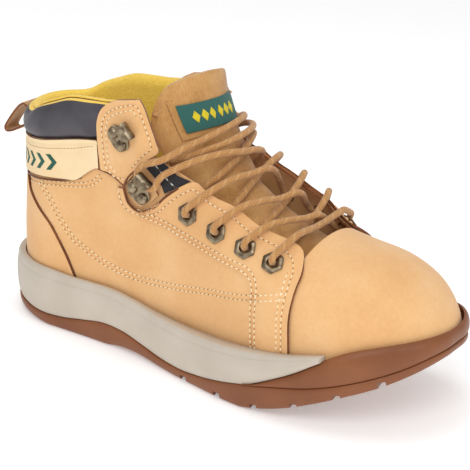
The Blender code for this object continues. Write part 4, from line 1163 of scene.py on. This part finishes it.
def lace_half(first_side):
    """One half of the lace, from the bar up to the fourth pair of eyelets."""
    side = first_side
    edge = FACING_EDGE[0]
    bar = crossing(edge, (216, 87), edge, -side, (OVER, -3.4, -1.4, 0.2, 0.9, 0.2, -1.4, -3.4, OVER))[4:]
    bar[0] = bar[0] + (bar[1] - bar[0]) / np.linalg.norm(bar[1] - bar[0]) * 0.2
    route = bar
    for number in range(4):
        route += into_eyelet(number, side)
        if number < 3:
            start = between(FACING_EDGE[number], FACING_EDGE[number + 1], 0.22)
            end = between(FACING_EDGE[number + 1], FACING_EDGE[number], 0.1)
            strand = LOW_STRAND if side == LATERAL else HIGH_STRAND
            route += crossing(start, CROSS_MIDDLE[number], end, side, strand)
            side = -side
    return route


def lace(name, route, node):
    """A round braided cord along its route."""
    fine = smooth_path(route, 900)
    run = np.linalg.norm(np.diff(fine, axis=0), axis=1).sum()
    line = path(fine, int(run / 0.9))
    along = np.gradient(line, axis=0)
    along /= np.linalg.norm(along, axis=1, keepdims=True)
    side = np.cross(along[0], (0, 0, 1.0))
    sides = []
    for direction in along:
        side = side - direction * direction.dot(side)
        side /= np.linalg.norm(side)
        sides.append(side)
    sides = np.array(sides)
    place = round_cord(line, sides, np.cross(along, sides), lambda u, turn:
                       LACE_THICK / 2 * (1 + 0.015 * np.sin(turn * 5 + u * run * 1.6)))
    bm = sewn(mapped_grid(len(line) - 1, 18, place, (run, 12.6)))
    made = seat_mesh(name, to_mesh(name, bm), [LACE], "root", (node,))


def laces():
    """Both halves leave the fourth eyelets, turn round a lower hook and cross the tongue once
    more: one to the upper hook inside the ankle, the other to be tucked in at the outside."""
    start = between(FACING_EDGE[3], FACING_EDGE[2], -0.25)
    first = lace_half(LATERAL)
    first += crossing(start, (163, 124), (134.5, 114.5), MEDIAL, (4.6, 2.4, 0.4, -0.8, -1.4, -2.4, -3.8,
                                                                  OVER))
    first += around_hook("lower", LATERAL)
    first += crossing((131, 122), (154, 137), (128, 128), LATERAL,
                      (-5.4, -1.6, 3.0, 2.6, 0.6, -2.4, -4.6, -6.0))
    first += around_hook("upper", MEDIAL)
    second = lace_half(MEDIAL)
    second += crossing(start, (163, 124), (134.5, 114.5), LATERAL,
                       (UNDER, 5.1, 5.1, 4.8, 3.4, 0.6, -3.0, OVER))
    second += around_hook("lower", MEDIAL)
    second += crossing((131, 122), (157, 128), (125, 118.5), MEDIAL,
                       (-5.6, -5.4, -3.4, -0.6, 1.8, 4.0, 5.0, 4.8))
    lace("lace_braid_lateral", first, "lace_lateral_half")
    lace("lace_braid_medial", second, "lace_medial_half")


# ---------------------------------------------------------------- sole

CONTACT = math.tan(PITCH)
GROUND_LINE = spline(((-6, 10), (8, 7), (27, 3.6), (44, 0.7), (60, -0.5), (82, -1.9), (96, -0.8),
                      (110, -1.5), (126, -4), (142, -6.2), (158, -8), (175, -9.2), (192, -10.3),
                      (209, -8.2), (226, -4.5), (243, 0.8), (260, 6.5), (278, 12.5), (295, 20),
                      (303, 24.5)))
GUM_LINE = spline(((-6, 16), (14, 12.5), (34, 9.5), (51, 9), (67, 10.5), (84, 12), (100, 10), (116, 5.5),
                   (132, 1.5), (148, -0.5), (164, 0), (181, 2), (198, 4.6), (215, 7), (240, 10),
                   (265, 15.5), (285, 21.5), (303, 29)))
BUMPER_LINE = spline(((196, 3.6), (205, 6.6), (216, 11), (232, 18), (249, 27), (262, 32.5), (276, 35.5),
                      (290, 37), (305, 37.5)))
MIDSOLE_LINE = spline(((-6, 44), (10, 42), (24, 40.5), (41, 39), (57, 37), (74, 36), (90, 35), (106, 32),
                       (122, 28.5), (138, 26.3), (154, 25), (170, 24.6), (204, 25.5), (222, 26.6),
                       (251, 30)))
# How far the sole's edge stands out from the upper, along each side.
LATERAL_FLANGE = spline(((0, 8.5), (20, 6.5), (60, 5.5), (110, 7), (135, 9), (160, 10.5), (185, 11),
                         (210, 10), (235, 8), (258, 6), (280, 5), (294, 5.6)))
MEDIAL_FLANGE = spline(((0, 8.5), (20, 6.5), (60, 5.5), (200, 5.5), (280, 4.8), (294, 5)))
EDGE_LEVEL = 24
MIDSOLE_FRONT = 247.3
BUMPER_BACK = 199
GAP = 0.35
CUP_FLOOR = 15.2
OUTLINE_POINTS = 160
FINE_JOIN = 0.005


def sole_outline(count=OUTLINE_POINTS):
    """The sole's edge in plan: the upper's section with its flange."""
    turn = (np.arange(count) + 0.5) * math.pi / count
    z = np.full(count, float(EDGE_LEVEL))
    back, front = HEEL_LINE(z), toe_reach(z + spring(TOE_X))
    x = back + (front - back) * (1 - np.cos(turn)) / 2
    height = z + spring(x)
    ring = np.vstack([skin(x, height, LATERAL, -LATERAL_FLANGE(x)),
                      skin(x[::-1], height[::-1], MEDIAL, -MEDIAL_FLANGE(x[::-1]))])
    return path(np.vstack([ring[:, :2], ring[:1, :2]]), 2 * count + 1)[:-1]


def inset(outline, distance):
    """The closed outline moved inwards; distance is one number or one for each point."""
    ahead, behind = np.roll(outline, -1, 0), np.roll(outline, 1, 0)
    along = ahead - behind
    along /= np.linalg.norm(along, axis=1, keepdims=True)
    inward = np.stack([-along[:, 1], along[:, 0]], -1)
    return outline + inward * np.broadcast_to(distance, len(outline))[:, None]


def ground_height(x):
    """The bottom of the tread, flat where heel and ball rest on the ground."""
    return np.maximum(GROUND_LINE(x), (HEEL_MIDDLE - x) * CONTACT)


def edge_solid(name, look, profile, bottom, top, node, rows=28):
    """A solid round the sole's edge.  profile gives (share of height, inset) from its bottom
    face to its top face, and bottom and top are heights at each x."""
    edge = sole_outline()
    profile = smooth_path(profile, 60)
    share = np.linspace(0, 1, len(profile))
    count = len(edge)

    def place(u, v):
        number = np.round(u * count).astype(int) % count
        level, inwards = np.interp(v, share, profile[:, 0]), np.interp(v, share, profile[:, 1])
        points = np.zeros((len(u), 3))
        for row in np.unique(v):
            here = v == row
            ring = inset(edge, inwards[here][0])
            points[here, :2] = ring[number[here]]
        low, high = bottom(edge[:, 0])[number], top(edge[:, 0])[number]
        high = np.maximum(high, low + 0.8)
        points[:, 2] = low + (high - low) * level
        return points
    bm = sewn(mapped_grid(count, rows, place), FINE_JOIN)
    return seat_mesh(name, to_mesh(name, bm), [look], "root", (node,))


def section(height, depth, count=60):
    """A closed ring round the form, height above the floor line; depth can vary with x."""
    turn = np.linspace(0, math.pi, count + 1)[:-1] + math.pi / (2 * count)
    toe = np.full(count, height + spring(TOE_X))
    back, front = HEEL_LINE(np.full(count, float(height))), toe_reach(toe)
    x = back + (front - back) * (1 - np.cos(turn)) / 2
    z = height + spring(x)
    depths = depth(x) if callable(depth) else np.full(count, depth)
    ring = np.vstack([skin(x, z, LATERAL, depths), skin(x[::-1], z[::-1], MEDIAL, depths[::-1])])
    ring[:, 2] = height + spring(ring[:, 0])
    return ring


def ring_bmesh(rings):
    """A closed solid through rings of points."""
    rings = np.array(rings)
    levels, count = rings.shape[:2]

    def place(u, v):
        return rings[np.round(v * (levels - 1)).astype(int), np.round(u * count).astype(int) % count]
    return sewn(mapped_grid(count, levels - 1, place), FINE_JOIN)


def loose_object(name, bm):
    """An object to cut with, tipped like the finished pieces."""
    mesh = to_mesh(name, bm)
    mesh.transform(STAND)
    made = bpy.data.objects.new(name, mesh)
    bpy.context.collection.objects.link(made)
    return made


def foot_cutter():
    """The space that the upper takes in the cup."""
    def clearance(x):
        return -1.7 + 0.2 * smoothstep(229, 240, x)
    rings = [section(height, clearance) for height in range(14, 51, 6)]
    return loose_object("foot_space", ring_bmesh(rings))


def block_cutter(name, x, y, z, turn=0.0):
    """A block over three ranges in millimetres, turned about its own upright axis."""
    bm = bmesh.new()
    middle = Vector((sum(x) / 2, sum(y) / 2, sum(z) / 2)) * MM
    size = Matrix.Diagonal(((x[1] - x[0]) * MM, (y[1] - y[0]) * MM, (z[1] - z[0]) * MM, 1))
    turned = Matrix.Translation(middle) @ Matrix.Rotation(turn, 4, "Z")
    bmesh.ops.create_cube(bm, size=1, matrix=turned @ size)
    return loose_object(name, bm)


FOREFOOT_GROOVES = (150, 176, 202, 228, 254, 279)
HEEL_GROOVES = (18, 34, 50, 66)


def outsole():
    """The gum tread: a rounded edge and lugs parted by moulded channels."""
    made = edge_solid("outsole_gum", GUM, ((0, 5.4), (0.0, 3.4), (0.04, 1.8), (0.2, 0.7), (0.5, 0.0),
                                           (0.8, -0.1), (1.0, 0.4), (1.0, 3)), ground_height, GUM_LINE,
                      "outsole")
    cutters = []
    for lines, lateral, medial in ((FOREFOOT_GROOVES, (-46, 56, 14), (44, 52, -14)),
                                   (HEEL_GROOVES, (-20, 22, 10), (20, 22, -10))):
        for x in lines:
            for word, at, (y, length, turn) in (("lateral", x, lateral), ("medial", x + 4, medial)):
                floor = float(ground_height(np.array(float(at))))
                cutters.append(block_cutter(f"channel_{word}_{at}", (at - 2.2, at + 2.2),
                                            (y - length / 2, y + length / 2), (floor - 4, floor + 3.6),
                                            math.radians(turn)))
    carve(made, cutters)
    soften(made, 0.35)


def cup_sole():
    """The pale cup that holds the upper, and the gum guard that wraps the toe."""
    foot = foot_cutter()
    cup = edge_solid("midsole_cup", MIDSOLE, ((0, 2.6), (0, 1.2), (0.03, 0.5), (0.18, -0.5), (0.42, -0.9),
                                              (0.68, -0.5), (0.8, 0.0), (0.83, 0.5), (0.87, 0.35),
                                              (0.95, 0.9), (1.0, 2.0), (1.0, 3.4), (0.99, 5)),
                     lambda x: np.maximum(GUM_LINE(x), np.where(x > 199, BUMPER_LINE(x), -20)) + GAP,
                     MIDSOLE_LINE, "midsole", rows=40)
    carve(cup, [foot, block_cutter("cup_end", (MIDSOLE_FRONT, 330), (-90, 90), (-25, 80))])
    foot = foot_cutter()
    guard = edge_solid("toe_guard_gum", GUM, ((0, 2.6), (0, 1.2), (0.03, 0.4), (0.2, -0.5), (0.45, -0.8),
                                              (0.7, -0.4), (0.88, 0.5), (0.97, 1.6), (1.0, 3.0), (0.99, 5)),
                       lambda x: GUM_LINE(x) + GAP, BUMPER_LINE, "toe_bumper", rows=34)
    carve(guard, [foot, block_cutter("guard_end", (-30, BUMPER_BACK), (-90, 90), (-25, 80))])


def footbed():
    """A loose felt footbed, cupped a little at its rim."""
    rings = [section(CUP_FLOOR + rise, depth) for rise, depth in
             ((4.2, 9.4), (4.2, 7.8), (5.4, 7.2), (7.2, 6.9), (8.0, 7.4), (8.2, 9.0), (7.4, 12.0),
              (7.2, 16.0))]
    seat_mesh("footbed_felt", to_mesh("footbed_felt", ring_bmesh(rings)), [FELT], "footbed", ("footbed",))


def hidden_pieces():
    """The boards, plates and stiffeners keep their CAD shapes."""
    for node, look in (("insole_board", FELT), ("steel_midsole_plate", STEEL), ("steel_toe_cap", STEEL),
                       ("vamp_lining", TEXTILE), ("heel_stiffener", FELT), ("back_stay", NUBUCK)):
        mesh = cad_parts[node].data
        mesh.materials.clear()
        mesh.materials.append(look)


# ---------------------------------------------------------------- build

vamp()
quarters()
heel_counter()
ankle_band()
collar()
lining()
eyestays()
hook_flaps()
fittings()
tongue()
label()
pull_loop()
laces()
outsole()
cup_sole()
footbed()
hidden_pieces()


# ---------------------------------------------------------------- studio

def studio_light(name, place, size, watts):
    """A round soft lamp aimed at the middle of the boot."""
    lamp = bpy.data.lights.new(name, "AREA")
    lamp.shape = "DISK"
    lamp.size = size
    lamp.energy = watts
    made = bpy.data.objects.new(name, lamp)
    bpy.context.collection.objects.link(made)
    towards = Vector((0.08, 0, 0.07)) - Vector(place)
    made.matrix_world = Matrix.Translation(place) @ towards.to_track_quat("-Z", "Y").to_matrix().to_4x4()


def studio():
    """A white floor under a pale sky, with broad soft lamps above the boot's near side."""
    bm = bmesh.new()
    bmesh.ops.create_grid(bm, x_segments=1, y_segments=1, size=6)
    floor = bpy.data.objects.new("studio_floor", to_mesh("studio_floor", bm))
    floor.location.z = -0.0003
    bpy.context.collection.objects.link(floor)
    paint, _, shader = new_material("floor_paint", 0.6)
    shader.inputs["Base Color"].default_value = hex_colour("#FAFAFA")
    shader.inputs["Emission Color"].default_value = hex_colour("#FFFFFF")
    shader.inputs["Emission Strength"].default_value = 0.3
    floor.data.materials.append(paint)
    world = bpy.data.worlds.new("pale_sky")
    world.use_nodes = True
    sky = world.node_tree.nodes["Background"]
    sky.inputs["Color"].default_value = hex_colour("#FFFFFF")
    sky.inputs["Strength"].default_value = 0.5
    seen = add_node(world.node_tree, "ShaderNodeBackground", {"Color": hex_colour("#FFFFFF"),
                                                              "Strength": 1.0})
    rays = add_node(world.node_tree, "ShaderNodeLightPath")
    both = add_node(world.node_tree, "ShaderNodeMixShader", {0: rays.outputs["Is Camera Ray"],
                                                             1: sky.outputs[0], 2: seen.outputs[0]})
    world.node_tree.links.new(both.outputs[0], world.node_tree.nodes["World Output"].inputs["Surface"])
    bpy.context.scene.world = world
    studio_light("key_lamp", (0.55, -1.1, 1.2), 0.9, 8.2)
    studio_light("top_lamp", (-0.2, 0.1, 1.5), 0.9, 5)
    studio_light("toe_lamp", (1.5, -0.3, 0.8), 0.8, 4)
    bpy.context.scene.view_settings.view_transform = "Standard"


studio()
